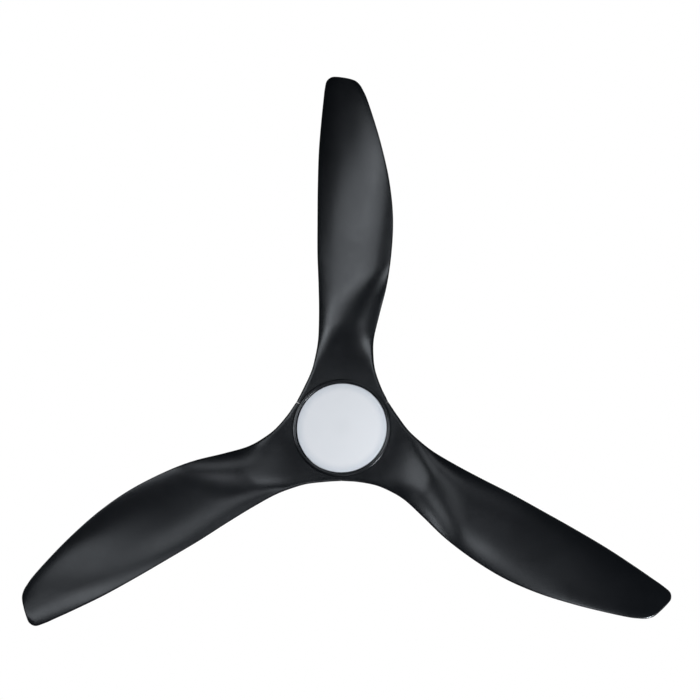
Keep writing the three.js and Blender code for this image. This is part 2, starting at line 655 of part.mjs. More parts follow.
function housingScrewHoles() {
  const holes = [];
  for (let i = 0; i < HOUSING_SCREWS; i++) {
    const place = around(housingScrewCircle, 30 + (360 * i) / HOUSING_SCREWS);
    const hole = disc(HOUSING_SCREW_RADIUS + TOUCH, motorTop - HOUSING_SCREW_LENGTH - 1, motorTop + 1, 8);
    holes.push(hole.translate(place.x, place.y, 0));
  }
  return holes;
}

/** Places of the two screws of one blade, about the Z axis. */
function bladeScrewPlaces(bladeAngle) {
  return [-1, 1].map((side) => around(bladeScrewCircle, bladeAngle + side * BLADE_SCREW_ANGLE));
}

/** Direction of each blade: the first points along +Y. */
const bladeAngles = Array.from({ length: BLADE_COUNT }, (_, i) => 90 + (360 * i) / BLADE_COUNT);

const housingTop = cut(solid(revolve(housingProfile(motorTop, -1), 30)), ...housingScrewHoles());
part(rotorGroup, "rotor_housing_top", housingTop, blackPaint);

function housingBottom() {
  const plateTop = motorBottom + MOTOR_PLATE;
  const places = bladeAngles.flatMap(bladeScrewPlaces);
  const bossHeight = 6;
  const bosses = places.map((p) => disc(BLADE_BOSS_RADIUS, plateTop - 1, plateTop + bossHeight, 10).translate(p.x, p.y, 0));
  const threads = places.map((p) =>
    disc(BLADE_SCREW_RADIUS + TOUCH, motorBottom - 1, plateTop + bossHeight + 1, 8).translate(p.x, p.y, 0));
  const shell = join(revolve(housingProfile(motorBottom, 1), 30), ...bosses);
  return cut(shell, ...threads, ...housingScrewHoles());
}
part(rotorGroup, "rotor_housing_bottom", housingBottom(), blackPaint);

part(rotorGroup, "magnet_ring",
  sleeve(magnetInner, magnetOuter, statorBottom - 1, statorTop + 1, 30), magnetic);

for (const [name, low] of [["upper", upperBearingBottom], ["lower", lowerBearingBottom]]) {
  part(rotorGroup, `${name}_bearing_outer`,
    sleeve(bearingOuter - BEARING_RACE, bearingOuter, low, low + BEARING_WIDTH, 24), bareSteel);
}

const ballCircle = (innerRace + bearingOuter) / 2;
const bearingGap = bearingOuter - 2 * BEARING_RACE - innerRace;
const bearingBallRadius = bearingGap / 2 - 2 * TOUCH;
for (const [name, low] of [["upper", upperBearingBottom], ["lower", lowerBearingBottom]]) {
  const middle = low + BEARING_WIDTH / 2;
  const cageWall = bearingBallRadius * 0.55;
  const pieces = [sleeve(ballCircle - cageWall, ballCircle + cageWall, middle - 0.9, middle + 0.9, 2 * BEARING_BALLS)];
  for (let i = 0; i < BEARING_BALLS; i++) {
    const place = around(ballCircle, (360 * i) / BEARING_BALLS, middle);
    pieces.push(new THREE.SphereGeometry(bearingBallRadius, 6, 4).translate(place.x, place.y, place.z));
  }
  part(rotorGroup, `${name}_ball_cage`, join(...pieces), bareSteel);
}

for (let i = 0; i < HOUSING_SCREWS; i++) {
  const mesh = part(rotorGroup, `housing_screw_${i + 1}`,
    screw(HOUSING_SCREW_RADIUS, HOUSING_SCREW_LENGTH, 3, 2), zincSteel);
  mesh.rotation.x = Math.PI;
  mesh.position.copy(around(housingScrewCircle, 30 + (360 * i) / HOUSING_SCREWS, motorTop + TOUCH));
}

// ---------------------------------------------------------------- blades
// One blade's outline, looking along its own axis: across is positive towards the leading edge.
// Each station is [distance along the blade, leading edge, trailing edge].
const DRAWN_REACH = 656; // blade reach for which the stations are written
const hubWaist = [[60, 0], [52, 1.5], [44, 5.5]]; // degrees from the blade's axis, stand-out from the hub radius
const bladeStations = [
  [104, 56.5, 59],
  [128, 50.5, 55.5],
  [160, 45.5, 55.5],
  [205, 44.5, 65.5],
  [260, 46, 79.5],
  [320, 49, 87.5],
  [385, 50, 89.5],
  [450, 50.5, 82.5],
  [515, 49.5, 68],
  [570, 46, 52],
  [610, 42.5, 38.5],
];
// The rounded tip, as [distance short of the blade's reach, across].
const leadingTip = [[22, 40], [8, 36.3], [1.8, 27], [3, 14], [6, 3]];
const trailingTip = [[34, -33], [23, -27], [14, -18.5], [9, -8], [6, 3]];
const HUB_FLARE = 85; // how much further out the hub's edge lies along a blade than at a seam
const SHOULDER_REACH = 160; // where the hub's raised middle has sunk to the blade's top
const PITCH_LINE = 35; // line along the blade that stays level, from its axis

function outlineCurve(side) {
  const waist = hubWaist.map(([degrees, standOut]) => {
    const angle = radians(degrees);
    return [side * (hubRadius + standOut) * Math.sin(angle), (hubRadius + standOut) * Math.cos(angle)];
  });
  const stretch = SWEEP_RADIUS / DRAWN_REACH;
  const stations = bladeStations.map(([along, leading, trailing]) =>
    [side > 0 ? leading : -trailing, along * stretch]);
  const tip = (side > 0 ? leadingTip : trailingTip).map(([short, across]) => [across, SWEEP_RADIUS - short]);
  const points = [...waist, ...stations, ...tip].map(([x, y]) => new THREE.Vector3(x, y, 0));
  return new THREE.CatmullRomCurve3(points);
}

/** Shares of the outline at which the blade gets a section: twice as many near the hub as beyond it. */
function outlineShares() {
  const stretches = hubWaist.length + bladeStations.length + leadingTip.length - 1;
  const shares = [];
  for (let i = 0; i < stretches; i++) {
    shares.push(i / stretches);
    if (i < hubWaist.length) shares.push((i + 0.5) / stretches);
  }
  return shares;
}

/** Rise of the blade's middle surface at a point: flat over the hub, pitched beyond it. */
function bladeRise(across, along) {
  const twist = smooth(120, 260, Math.hypot(across, along) + 0.6 * across);
  const pitch = BLADE_PITCH + (TIP_PITCH - BLADE_PITCH) * smooth(SWEEP_RADIUS / 2, SWEEP_RADIUS - 20, along);
  return twist * Math.tan(radians(pitch)) * (across - PITCH_LINE);
}

/** Top and bottom of a blade at a point; edge goes from 0 at the blade's edges to 1 at mid-chord. */
function bladeSkin(across, along, edge) {
  const reach = Math.hypot(across, along);
  const beyondHub = smooth(hubRadius, 2 * hubRadius, reach);
  const full = THREE.MathUtils.lerp(BLADE_THICKNESS, BLADE_TIP_THICKNESS, smooth(200, SWEEP_RADIUS, reach));
  const thinnest = THREE.MathUtils.lerp(HUB_EDGE, BLADE_EDGE, beyondHub);
  const thickness = thinnest + (full - thinnest) * edge;
  const middle = bladeMiddle + bladeRise(across, along);
  const turn = Math.abs(Math.atan2(across, along)) / (Math.PI / BLADE_COUNT);
  const hubEdge = hubRadius + HUB_FLARE * Math.max(0, 1 - turn) ** 2;
  const shoulder = smooth(0, hubRadius - recessRadius, hubEdge - reach)
    * (1 - smooth(hubRadius, SHOULDER_REACH, reach));
  const floor = reach < recessRadius + 0.25 ? rootBottom : rimBottom;
  return [
    THREE.MathUtils.lerp(middle + thickness / 2, rootTop, shoulder),
    THREE.MathUtils.lerp(floor, middle - thickness / 2, beyondHub),
  ];
}
function bladeGeometry() {
  const leading = outlineCurve(1);
  const trailing = outlineCurve(-1);
  const seamAngle = Math.PI / BLADE_COUNT;
  const columns = 7;
  const columnAngles = Array.from({ length: columns }, (_, i) => seamAngle * (2 * i / (columns - 1) - 1));
  const rows = [];
  for (const radius of [ROOT_BORE_RADIUS, recessRadius, recessRadius + 0.5]) {
    const inset = Math.asin(SEAM_GAP / 2 / radius) / seamAngle;
    rows.push(columnAngles.map((angle) => {
      const turned = angle * (1 - inset);
      return [radius * Math.sin(turned), radius * Math.cos(turned), 1];
    }));
  }
  for (const share of outlineShares()) {
    const front = leading.getPoint(share);
    const back = trailing.getPoint(share);
    const seam = share === 0 ? SEAM_GAP / 2 / Math.cos(seamAngle / 2) : 0;
    const bulge = hubRadius * (1 - Math.cos(seamAngle)) * (1 - smooth(hubRadius / 2, 260, (front.y + back.y) / 2));
    rows.push(columnAngles.map((angle) => {
      const share = (Math.sin(angle) / Math.sin(seamAngle) + 1) / 2;
      const crown = (Math.cos(angle) - Math.cos(seamAngle)) / (1 - Math.cos(seamAngle));
      const across = THREE.MathUtils.lerp(back.x + seam, front.x - seam, share);
      const along = THREE.MathUtils.lerp(back.y, front.y, share) + bulge * crown;
      return [across, along, 1 - Math.abs(2 * share - 1) ** 3];
    }));
  }
  return closedSkin(rows.map((row) => row.map(([across, along, edge]) => {
    const [top, bottom] = bladeSkin(across, along, edge);
    return { across, along, top, bottom };
  })));
}

/** A closed mesh from a grid of points that each have a top and a bottom. */
function closedSkin(grid) {
  const places = [];
  const triangles = [];
  const columns = grid[0].length;
  for (const level of ["top", "bottom"]) {
    grid.forEach((row) => row.forEach((p) => places.push(p.across, p.along, p[level])));
  }
  const count = grid.length * columns;
  const quad = (a, b, c, d) => triangles.push(a, c, b, a, d, c);
  for (let i = 0; i < grid.length - 1; i++) {
    for (let j = 0; j < columns - 1; j++) {
      const a = i * columns + j;
      quad(a, a + columns, a + columns + 1, a + 1);
      quad(count + a, count + a + 1, count + a + columns + 1, count + a + columns);
    }
    const left = i * columns;
    const right = left + columns - 1;
    quad(left, count + left, count + left + columns, left + columns);
    quad(right, right + columns, count + right + columns, count + right);
  }
  const last = (grid.length - 1) * columns;
  for (let j = 0; j < columns - 1; j++) {
    quad(j, j + 1, count + j + 1, count + j);
    quad(last + j, count + last + j, count + last + j + 1, last + j + 1);
  }
  const geometry = new THREE.BufferGeometry();
  geometry.setAttribute("position", new THREE.Float32BufferAttribute(places, 3));
  geometry.setIndex(triangles);
  return geometry;
}

const bladeHoles = bladeScrewPlaces(90).map((p) =>
  disc(BLADE_SCREW_RADIUS + TOUCH, rootBottom - 1, rootTop + 1, 8).translate(p.x, p.y, 0));
const bladeShape = geometryOf(cut(solid(bladeGeometry()), ...bladeHoles));
let screwNumber = 0;
for (const [index, angle] of bladeAngles.entries()) {
  part(rotorGroup, `blade_${index + 1}`, bladeShape.clone(), blackPlastic).rotation.z = radians(angle - 90);
  for (const place of bladeScrewPlaces(angle)) {
    screwNumber += 1;
    const mesh = part(rotorGroup, `blade_screw_${screwNumber}`,
      screw(BLADE_SCREW_RADIUS, BLADE_SCREW_LENGTH, 4.6, BLADE_HEAD), zincSteel);
    mesh.position.set(place.x, place.y, rootBottom - TOUCH);
  }
}

// ---------------------------------------------------------------- light
const PAN_SCREWS = 3;
const PAN_SCREW_CIRCLE = 30;
const MOUNT_PLATE_RADIUS = 42;
const NUT_WALL = 4.2;
const nutRadius = innerRace + NUT_WALL;
const panScrewPlaces = Array.from({ length: PAN_SCREWS }, (_, i) => around(PAN_SCREW_CIRCLE, -90 + (360 * i) / PAN_SCREWS));
const panScrewHoles = (low, high) => panScrewPlaces.map((p) => disc(2.1, low, high, 8).translate(p.x, p.y, 0));

const mountPlate = cut(
  solid(sleeve(innerRace, MOUNT_PLATE_RADIUS, lightTop + TOUCH, mountPlateTop, 28)),
  ...panScrewHoles(lightTop - 1, mountPlateTop + 1),
);
part(lightGroup, "light_mount_plate", mountPlate, zincSteel);

const nut = new THREE.CylinderGeometry(nutRadius, nutRadius, NUT_HEIGHT, 6)
  .rotateX(Math.PI / 2).translate(0, 0, lightTop - NUT_HEIGHT / 2);
const shaftNut = cut(solid(nut), disc(innerRace, lightTop - NUT_HEIGHT - 1, lightTop + 1, 24));
part(lightGroup, "shaft_nut", shaftNut, zincSteel);

// Bayonet: the diffuser's lugs sit on ledges inside the housing wall.
const ledgeArc = 180 / LUG_COUNT;
const LUG_ARC = 24;
const LUG_HEIGHT = 2;
const LEDGE_HEIGHT = 2;
const housingInside = lightRadius - LIGHT_WALL;
const skirtOuter = housingInside - 1.6;
const lugOuter = housingInside - 0.4;
const ledgeInner = skirtOuter + 0.5;
const ledgeTop = lightBottom + 1 + LEDGE_HEIGHT;

/** A stretch of ring between two radii, centred on an angle. */
function arcBlock(inner, outer, low, high, middleDegrees, arcDegrees) {
  const outline = new THREE.Shape();
  const half = radians(arcDegrees / 2);
  outline.absarc(0, 0, outer, -half, half, false);
  outline.absarc(0, 0, inner, half, -half, true);
  const settings = { depth: high - low, curveSegments: 4, bevelEnabled: false };
  return new THREE.ExtrudeGeometry(outline, settings).translate(0, 0, low).rotateZ(radians(middleDegrees));
}

function lightPan() {
  const floor = lightTop - LIGHT_WALL;
  const shell = revolve([
    [nutRadius + 2, floor],
    [housingInside, floor],
    [housingInside, lightBottom],
    [lightRadius, lightBottom],
    [lightRadius, lightTop],
    [nutRadius + 2, lightTop],
  ], 40);
  const ledges = Array.from({ length: LUG_COUNT }, (_, i) =>
    arcBlock(ledgeInner, housingInside + 1, ledgeTop - LEDGE_HEIGHT, ledgeTop, (360 * i) / LUG_COUNT, ledgeArc));
  return cut(join(shell, ...ledges), ...panScrewHoles(floor - 1, lightTop + 1));
}
part(lightGroup, "light_housing", lightPan(), whitePlastic);

for (const [index, place] of panScrewPlaces.entries()) {
  const mesh = part(lightGroup, `light_screw_${index + 1}`, screw(1.8, 6, 3.6, 2.2), zincSteel);
  mesh.position.set(place.x, place.y, lightTop - LIGHT_WALL - TOUCH);
}

const BOARD_INNER = 46;
const BOARD_INSET = 9; // board's edge inside the housing's outside
const boardOuter = lightRadius - BOARD_INSET;
const BOARD_THICKNESS = 1.6;
const LED_ROWS = [[BOARD_INNER + 6, 8], [boardOuter - 7, 12]]; // radius of each circle of LEDs and how many it has
function ledBoard() {
  const top = lightTop - LIGHT_WALL - TOUCH;
  const pieces = [sleeve(BOARD_INNER, boardOuter, top - BOARD_THICKNESS, top, 28)];
  for (const [radius, count] of LED_ROWS) {
    for (let i = 0; i < count; i++) {
      const place = around(radius, (360 * i) / count);
      pieces.push(block(3, 3, 1.6, 0, 0, top - BOARD_THICKNESS - 0.7)
        .rotateZ(radians((360 * i) / count)).translate(place.x, place.y, 0));
    }
  }
  return join(...pieces);
}
part(lightGroup, "led_board", ledBoard(), whitePlastic);

const DRIVER = { width: 44, depth: 20, height: 10 };
part(lightGroup, "led_driver",
  block(DRIVER.width, DRIVER.depth, DRIVER.height, 0, 26, lightTop - LIGHT_WALL - TOUCH - DRIVER.height / 2),
  whitePlastic);

const trimSleeve = lightRadius + TOUCH;
const trimLip = diffuserRadius + DIFFUSER_CLEARANCE;
const trimMiddle = (trimRadius + trimLip) / 2;
const crown = [30, 60, 90, 120].map((degrees) => [
  trimMiddle + ((trimRadius - trimLip) / 2) * Math.cos(radians(degrees)),
  trimBottom + LIP_THICKNESS - LIP_THICKNESS * Math.sin(radians(degrees)),
]);
part(lightGroup, "trim_ring", revolve([
  [trimSleeveOuter, trimTop],
  [trimSleeveOuter, trimBottom + LIP_THICKNESS],
  [trimRadius, trimBottom + LIP_THICKNESS],
  ...crown,
  [trimLip, trimBottom + LIP_THICKNESS],
  [trimLip, lightBottom - TOUCH],
  [trimSleeve, lightBottom - TOUCH],
  [trimSleeve, trimTop],
], 40), blackPlastic);

part(hangingGroup, "rod_lead", lead([
  [LEAD_OFFSET, 0, ballCentre - TOUCH],
  [LEAD_OFFSET, 0, ballCentre - 30],
  [LEAD_OFFSET, 0, clevisLevel + 8],
  [LEAD_OFFSET - 0.4, 0, clevisLevel - 5],
  [LEAD_OFFSET * 0.45, 0, shaftTop],
  [0, 0, shaftTop - 10],
  [0, 0, motorBottom],
  [0, 0, shaftBottom + 4],
  [0, 0.5, shaftBottom - 1.5],
  [0, 5, shaftBottom - 3.6],
  [0, 26 - DRIVER.depth / 2 - TOUCH, shaftBottom - 3.6],
], LEAD_RADIUS, 26), leadSleeve);

function diffuser() {
  const flangeTop = lightBottom - TOUCH;
  const flangeBottom = trimBottom + 1;
  const face = (drop, radius) => {
    const steps = 3;
    const points = [];
    for (let i = 0; i <= steps; i++) {
      const at = (radius * i) / steps;
      points.push([at, drop - DIFFUSER_DOME * (1 - (at / radius) ** 2)]);
    }
    return points;
  };
  const skirtInner = skirtOuter - DIFFUSER_WALL;
  const skirtTop = ledgeTop + LUG_HEIGHT + 2;
  const inside = face(flangeBottom + DIFFUSER_WALL, skirtInner).reverse();
  const shell = revolve([
    ...face(flangeBottom, diffuserRadius),
    [diffuserRadius, flangeTop],
    [skirtOuter, flangeTop],
    [skirtOuter, skirtTop],
    [skirtInner, skirtTop],
    ...inside,
  ], 40);
  const lugs = Array.from({ length: LUG_COUNT }, (_, i) =>
    arcBlock(skirtOuter - 1, lugOuter, ledgeTop + TOUCH, ledgeTop + TOUCH + LUG_HEIGHT, (360 * i) / LUG_COUNT, LUG_ARC));
  return join(shell, ...lugs);
}
part(lightGroup, "diffuser", diffuser(), opalPlastic);

export default fan;
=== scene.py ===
# %% [markdown]
# # A three-bladed ceiling fan with a light
#
# The fan hangs from a bracket on the ceiling. Its bracket, ball joint, rod, motor,
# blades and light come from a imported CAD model, which is the frame that every piece
# here is placed in. Everything is in metres, with +Z up and the ceiling at zero.

# %% The frame
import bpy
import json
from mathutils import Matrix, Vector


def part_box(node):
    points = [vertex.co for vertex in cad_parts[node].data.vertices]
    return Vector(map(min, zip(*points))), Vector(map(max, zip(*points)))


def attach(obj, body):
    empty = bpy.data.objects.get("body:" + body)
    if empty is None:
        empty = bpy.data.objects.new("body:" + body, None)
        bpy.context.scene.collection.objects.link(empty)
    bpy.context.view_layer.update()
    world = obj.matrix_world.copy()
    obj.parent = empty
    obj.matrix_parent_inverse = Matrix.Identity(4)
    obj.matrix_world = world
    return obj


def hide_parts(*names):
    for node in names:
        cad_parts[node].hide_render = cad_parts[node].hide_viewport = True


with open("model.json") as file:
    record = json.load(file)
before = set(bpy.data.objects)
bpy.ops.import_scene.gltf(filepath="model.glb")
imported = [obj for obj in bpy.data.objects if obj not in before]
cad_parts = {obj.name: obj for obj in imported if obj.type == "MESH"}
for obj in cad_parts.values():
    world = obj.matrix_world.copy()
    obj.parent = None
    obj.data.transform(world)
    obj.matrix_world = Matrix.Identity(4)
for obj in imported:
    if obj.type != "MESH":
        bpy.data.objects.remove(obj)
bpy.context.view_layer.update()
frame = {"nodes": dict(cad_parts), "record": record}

import json
import math
import bmesh
import bpy
import numpy as np
from mathutils import Matrix, Vector

MM = 0.001

# %% [markdown]
# The camera looks up at the fan from almost straight below, a few metres away, as a
# person would who lies on the floor. It is described by where it stands, the point it
# looks at and how far it leans, and those three are turned into one matrix. A track-to
# constraint would do too, but a matrix keeps the lean exact.

# %% The camera
CAMERA_PLACE = Vector((-407.0, -764.4, -4664.3)) * MM
CAMERA_TARGET = Vector((-11.5, 145.3, -215.0)) * MM
CAMERA_LEAN = math.radians(0.728)
CAMERA_LENS = 130.0

camera_data = bpy.data.cameras.new("camera_below")
camera_data.lens = CAMERA_LENS
camera_data.sensor_width = 36
camera_data.clip_end = 100
camera = bpy.data.objects.new("camera_below", camera_data)
bpy.context.collection.objects.link(camera)
gaze = (CAMERA_TARGET - CAMERA_PLACE).normalized()
level_right = gaze.cross(Vector((0, 1, 0))).normalized()
level_up = level_right.cross(gaze)
right = math.cos(CAMERA_LEAN) * level_right + math.sin(CAMERA_LEAN) * level_up
up = math.cos(CAMERA_LEAN) * level_up - math.sin(CAMERA_LEAN) * level_right
turn = Matrix((right, up, -gaze)).transposed().to_4x4()
camera.matrix_world = Matrix.Translation(CAMERA_PLACE) @ turn
bpy.context.scene.camera = camera
print("camera", round((CAMERA_TARGET - CAMERA_PLACE).length, 2), "m from the fan")

# %% [markdown]
# Both geometry nodes and materials are trees of nodes. One small function adds a node
# to either kind: its settings come first, because a setting can change which sockets
# a node has, and then each socket gets a number, a colour or a link.

# %% Adding a node
def add_node(tree, kind, settings=None, inputs=None):
    """Adds a node, sets it, and fills its sockets by name or number."""
    made = tree.nodes.new(kind)
    for name, value in (settings or {}).items():
        if name == "stops":
            ramp = made.color_ramp.elements
            for index, (place, shade) in enumerate(value):
                stop = ramp[index] if index < 2 else ramp.new(place)
                stop.position = place
                stop.color = (shade, shade, shade, 1)
        else:
            setattr(made, name, value)
    for key, value in (inputs or {}).items():
        if isinstance(value, Wire):
            value = value.socket
        if isinstance(value, bpy.types.NodeSocket):
            tree.links.new(value, made.inputs[key])
        else:
            made.inputs[key].default_value = value
    return made


class Wire:
    """One output of a material's node, on which sums can be written."""

    def __init__(self, recipe, socket):
        self.recipe = recipe
        self.socket = socket

    def maths(self, how, first, second=None):
        inputs = {0: first} if second is None else {0: first, 1: second}
        return self.recipe.node("ShaderNodeMath", {"operation": how}, inputs)

    def __add__(self, other):
        return self.maths("ADD", self, other)

    def __radd__(self, other):
        return self.maths("ADD", other, self)

    def __sub__(self, other):
        return self.maths("SUBTRACT", self, other)

    def __rsub__(self, other):
        return self.maths("SUBTRACT", other, self)

    def __mul__(self, other):
        return self.maths("MULTIPLY", self, other)

    def __rmul__(self, other):
        return self.maths("MULTIPLY", other, self)

    def __pow__(self, other):
        return self.maths("POWER", self, other)

# %% [markdown]
# Every finish of the fan is a recipe: a Principled shader whose colour, roughness and
# bump come from a few noises in the piece's own Object coordinates. Those never slide
# when the camera or the fan moves. The recipe class holds the nodes that all of the
# finishes share, so that each finish below is only the few lines that make it special.

# %% Recipes for finishes
class Recipe:
    """The node tree of one material, which ends in a Principled shader."""

    def __init__(self, name, **constants):
        self.material = bpy.data.materials.new(name)
        self.material.use_nodes = True
        self.tree = self.material.node_tree
        self.shader = self.tree.nodes["Principled BSDF"]
        self.place = self.node("ShaderNodeTexCoord", output="Object")
        self.surface(**constants)
        self.height = None

    def node(self, kind, settings=None, inputs=None, output=0):
        return Wire(self, add_node(self.tree, kind, settings, inputs).outputs[output])

    def surface(self, **sockets):
        """Sets the shader's sockets: base_color stands for Base Color."""
        for name, value in sockets.items():
            socket = self.shader.inputs[name.replace("_", " ").title().replace("Ior", "IOR")]
            if isinstance(value, Wire):
                self.tree.links.new(value.socket, socket)
            else:
                socket.default_value = (*value, 1) if isinstance(value, tuple) else value

    def noise(self, scale, detail=2.0, place=None):
        inputs = {"Vector": place or self.place, "Scale": scale, "Detail": detail}
        return self.node("ShaderNodeTexNoise", None, inputs)

    def mix(self, share, first, second):
        """A colour between two colours."""
        colours = [(*c, 1) if isinstance(c, tuple) else c for c in (first, second)]
        inputs = {0: share, 6: colours[0], 7: colours[1]}
        return self.node("ShaderNodeMix", {"data_type": "RGBA"}, inputs, output=2)

    def stretched(self, x, y, z):
        """Object coordinates scaled along each axis."""
        return self.node("ShaderNodeVectorMath", {"operation": "MULTIPLY"}, {0: self.place, 1: (x, y, z)})

    def bump(self, height, distance, strength=1.0):
        """Adds a bump in metres on top of the bumps so far."""
        inputs = {"Height": height, "Distance": distance, "Strength": strength}
        if self.height is not None:
            inputs["Normal"] = self.height
        self.height = self.node("ShaderNodeBump", None, inputs)
        self.surface(normal=self.height)


def spread(wire, low, high):
    """A noise from 0.3 to 0.7 spread over a range of values."""
    return (wire - 0.3) * ((high - low) / 0.4) + low

# %% [markdown]
# The blades, the hub, the trim ring and the coupling cover are injection moulded in
# black plastic. The mould is spark eroded, which leaves a fine even grain and a satin
# sheen, and the plastic's flow makes the sheen a little uneven over a hand's width.
# The colour is almost black and slightly cool.

# %% Black plastics and paint
def moulded_black(name, colour, roughness, grain):
    """Satin black plastic with a moulded grain."""
    made = Recipe(name, ior=1.56, specular_ior_level=0.5)
    flow = made.noise(9, 3)
    rubbed = made.noise(60, 4)
    fine = made.noise(1500, 2)
    darker = tuple(0.72 * c for c in colour)
    lighter = tuple(1.3 * c for c in colour)
    made.surface(base_color=made.mix(flow, darker, lighter))
    sheen = spread(flow, roughness - 0.025, roughness + 0.025)
    made.surface(roughness=sheen + (rubbed - 0.5) * 0.05)
    made.bump(made.noise(140, 3), 0.00004, 0.5)
    made.bump(fine, grain, 0.6)
    return made.material


def powder_coat(name, colour, roughness):
    """Black powder coat with an orange-peel skin over steel or alloy."""
    made = Recipe(name, ior=1.5, coat_weight=0.08, coat_roughness=0.3)
    cloud = made.noise(30, 3)
    made.surface(base_color=made.mix(cloud, tuple(0.8 * c for c in colour), tuple(1.25 * c for c in colour)))
    made.surface(roughness=spread(cloud, roughness - 0.04, roughness + 0.04))
    made.bump(made.noise(420, 2), 0.00009, 0.6)
    made.bump(made.noise(2400, 1), 0.00002, 0.4)
    return made.material


FINISHES = {}
FINISHES["black_plastic"] = moulded_black("black_plastic", (0.0046, 0.0052, 0.0062), 0.2, 0.000018)
FINISHES["black_paint"] = powder_coat("black_paint", (0.0075, 0.0078, 0.0084), 0.46)
FINISHES["grey_nylon"] = moulded_black("grey_nylon", (0.045, 0.047, 0.05), 0.55, 0.00003)
FINISHES["rubber"] = moulded_black("rubber", (0.011, 0.011, 0.012), 0.75, 0.00005)
FINISHES["magnet"] = powder_coat("magnet", (0.03, 0.031, 0.034), 0.4)
print("black finishes", sorted(FINISHES))

# %% [markdown]
# The metals differ in how they were made. Zinc plate shows a faint mottle of crystals
# and a slightly yellow and blue passivation. Ground and turned steel has rings round
# its axis. Die-cast alloy has a dull, pitted skin, and a motor's core is a stack of
# thin sheets whose edges show as fine lines.

# %% Metals
def zinc_plate():
    made = Recipe("zinc_steel", metallic=1.0)
    crystal = made.node("ShaderNodeTexVoronoi", None, {"Vector": made.place, "Scale": 320.0}, output=1)
    mottle = made.node("ShaderNodeSeparateColor", None, {0: crystal})
    tint = made.noise(45, 3)
    made.surface(base_color=made.mix(tint, (0.48, 0.52, 0.57), (0.66, 0.62, 0.5)))
    made.surface(roughness=mottle * 0.12 + tint * 0.1 + 0.2)
    made.bump(made.noise(700, 3), 0.00003, 0.5)
    return made.material


def turned_steel(name, colour, roughness):
    made = Recipe(name, metallic=1.0)
    rings = made.node(
        "ShaderNodeTexWave",
        {"wave_type": "RINGS", "rings_direction": "Z"},
        {"Vector": made.place, "Scale": 900.0, "Distortion": 1.2, "Detail": 2.0, "Detail Scale": 3.0},
    )
    stain = made.noise(70, 4)
    made.surface(base_color=made.mix(stain, colour, tuple(min(1, 1.25 * c) for c in colour)))
    made.surface(roughness=rings * 0.08 + spread(stain, roughness - 0.05, roughness + 0.05))
    made.bump(rings, 0.000012, 0.5)
    return made.material


def die_cast():
    made = Recipe("cast_alloy", metallic=0.9)
    skin = made.noise(160, 5)
    made.surface(base_color=made.mix(skin, (0.26, 0.27, 0.28), (0.42, 0.43, 0.44)))
    made.surface(roughness=spread(skin, 0.42, 0.6))
    made.bump(skin, 0.00012, 0.6)
    return made.material


def core_sheets():
    made = Recipe("lamination_steel", metallic=0.85)
    sheets = made.node(
        "ShaderNodeTexWave",
        {"bands_direction": "Z"},
        {"Vector": made.place, "Scale": 320.0, "Distortion": 0.3},
    )
    varnish = made.noise(90, 3)
    made.surface(base_color=made.mix(sheets * varnish, (0.09, 0.092, 0.1), (0.3, 0.3, 0.32)))
    made.surface(roughness=spread(varnish, 0.35, 0.5))
    made.bump(sheets, 0.00008, 0.7)
    return made.material


FINISHES["zinc_steel"] = zinc_plate()
FINISHES["bearing_steel"] = turned_steel("bearing_steel", (0.5, 0.51, 0.53), 0.2)
FINISHES["cast_alloy"] = die_cast()
FINISHES["lamination_steel"] = core_sheets()
print("finishes so far", len(FINISHES))

# %% [markdown]
# The motor's coils are enamelled copper wire, wound in turns that show as ridges
# round each tooth. The control boards are green with paler copper tracks under the
# lacquer. The light housing, the terminal block and the LED driver are white plastic,
# and the leads have a soft white sleeve.

# %% Electrical finishes
def copper_turns():
    made = Recipe("copper_winding", metallic=1.0, coat_weight=0.6, coat_roughness=0.12)
    turns = made.node(
        "ShaderNodeTexWave", {"bands_direction": "DIAGONAL"}, {"Vector": made.place, "Scale": 260.0}
    )
    heat = made.noise(120, 3)
    made.surface(base_color=made.mix(heat, (0.5, 0.16, 0.05), (0.75, 0.3, 0.12)))
    made.surface(roughness=turns * 0.15 + 0.2)
    made.bump(turns, 0.0003, 0.8)
    return made.material


def green_board():
    made = Recipe("circuit_board", ior=1.5, coat_weight=0.4, coat_roughness=0.15)
    brick = made.node(
        "ShaderNodeTexBrick",
        {"offset": 0.37},
        {"Vector": made.place, "Scale": 90.0, "Mortar Size": 0.03, "Brick Width": 0.8, "Row Height": 0.3},
        output=1,
    )
    weave = made.noise(400, 2)
    lacquer = made.mix(weave, (0.006, 0.07, 0.03), (0.012, 0.11, 0.05))
    made.surface(base_color=made.mix(brick, lacquer, (0.03, 0.2, 0.09)))
    made.surface(roughness=spread(weave, 0.28, 0.4))
    made.bump(brick, 0.00006, 0.6)
    return made.material


def pale_plastic(name, colour, roughness):
    made = Recipe(name, ior=1.48, subsurface_weight=0.05)
    made.surface(subsurface_radius=Vector((0.002, 0.002, 0.002)))
    flow = made.noise(25, 3)
    made.surface(base_color=made.mix(flow, tuple(0.94 * c for c in colour), colour))
    made.surface(roughness=spread(flow, roughness - 0.04, roughness + 0.04))
    made.bump(made.noise(900, 2), 0.00002, 0.5)
    return made.material


def lead_skin():
    made = Recipe("lead_sleeve", ior=1.5)
    grime = made.noise(150, 3)
    made.surface(base_color=made.mix(grime, (0.6, 0.6, 0.58), (0.76, 0.76, 0.75)))
    made.surface(roughness=spread(grime, 0.42, 0.6))
    made.bump(made.noise(600, 2), 0.00003, 0.6)
    return made.material


FINISHES["copper_winding"] = copper_turns()
FINISHES["circuit_board"] = green_board()
FINISHES["white_plastic"] = pale_plastic("white_plastic", (0.78, 0.79, 0.8), 0.4)
FINISHES["lead_sleeve"] = lead_skin()
print("finishes so far", len(FINISHES))

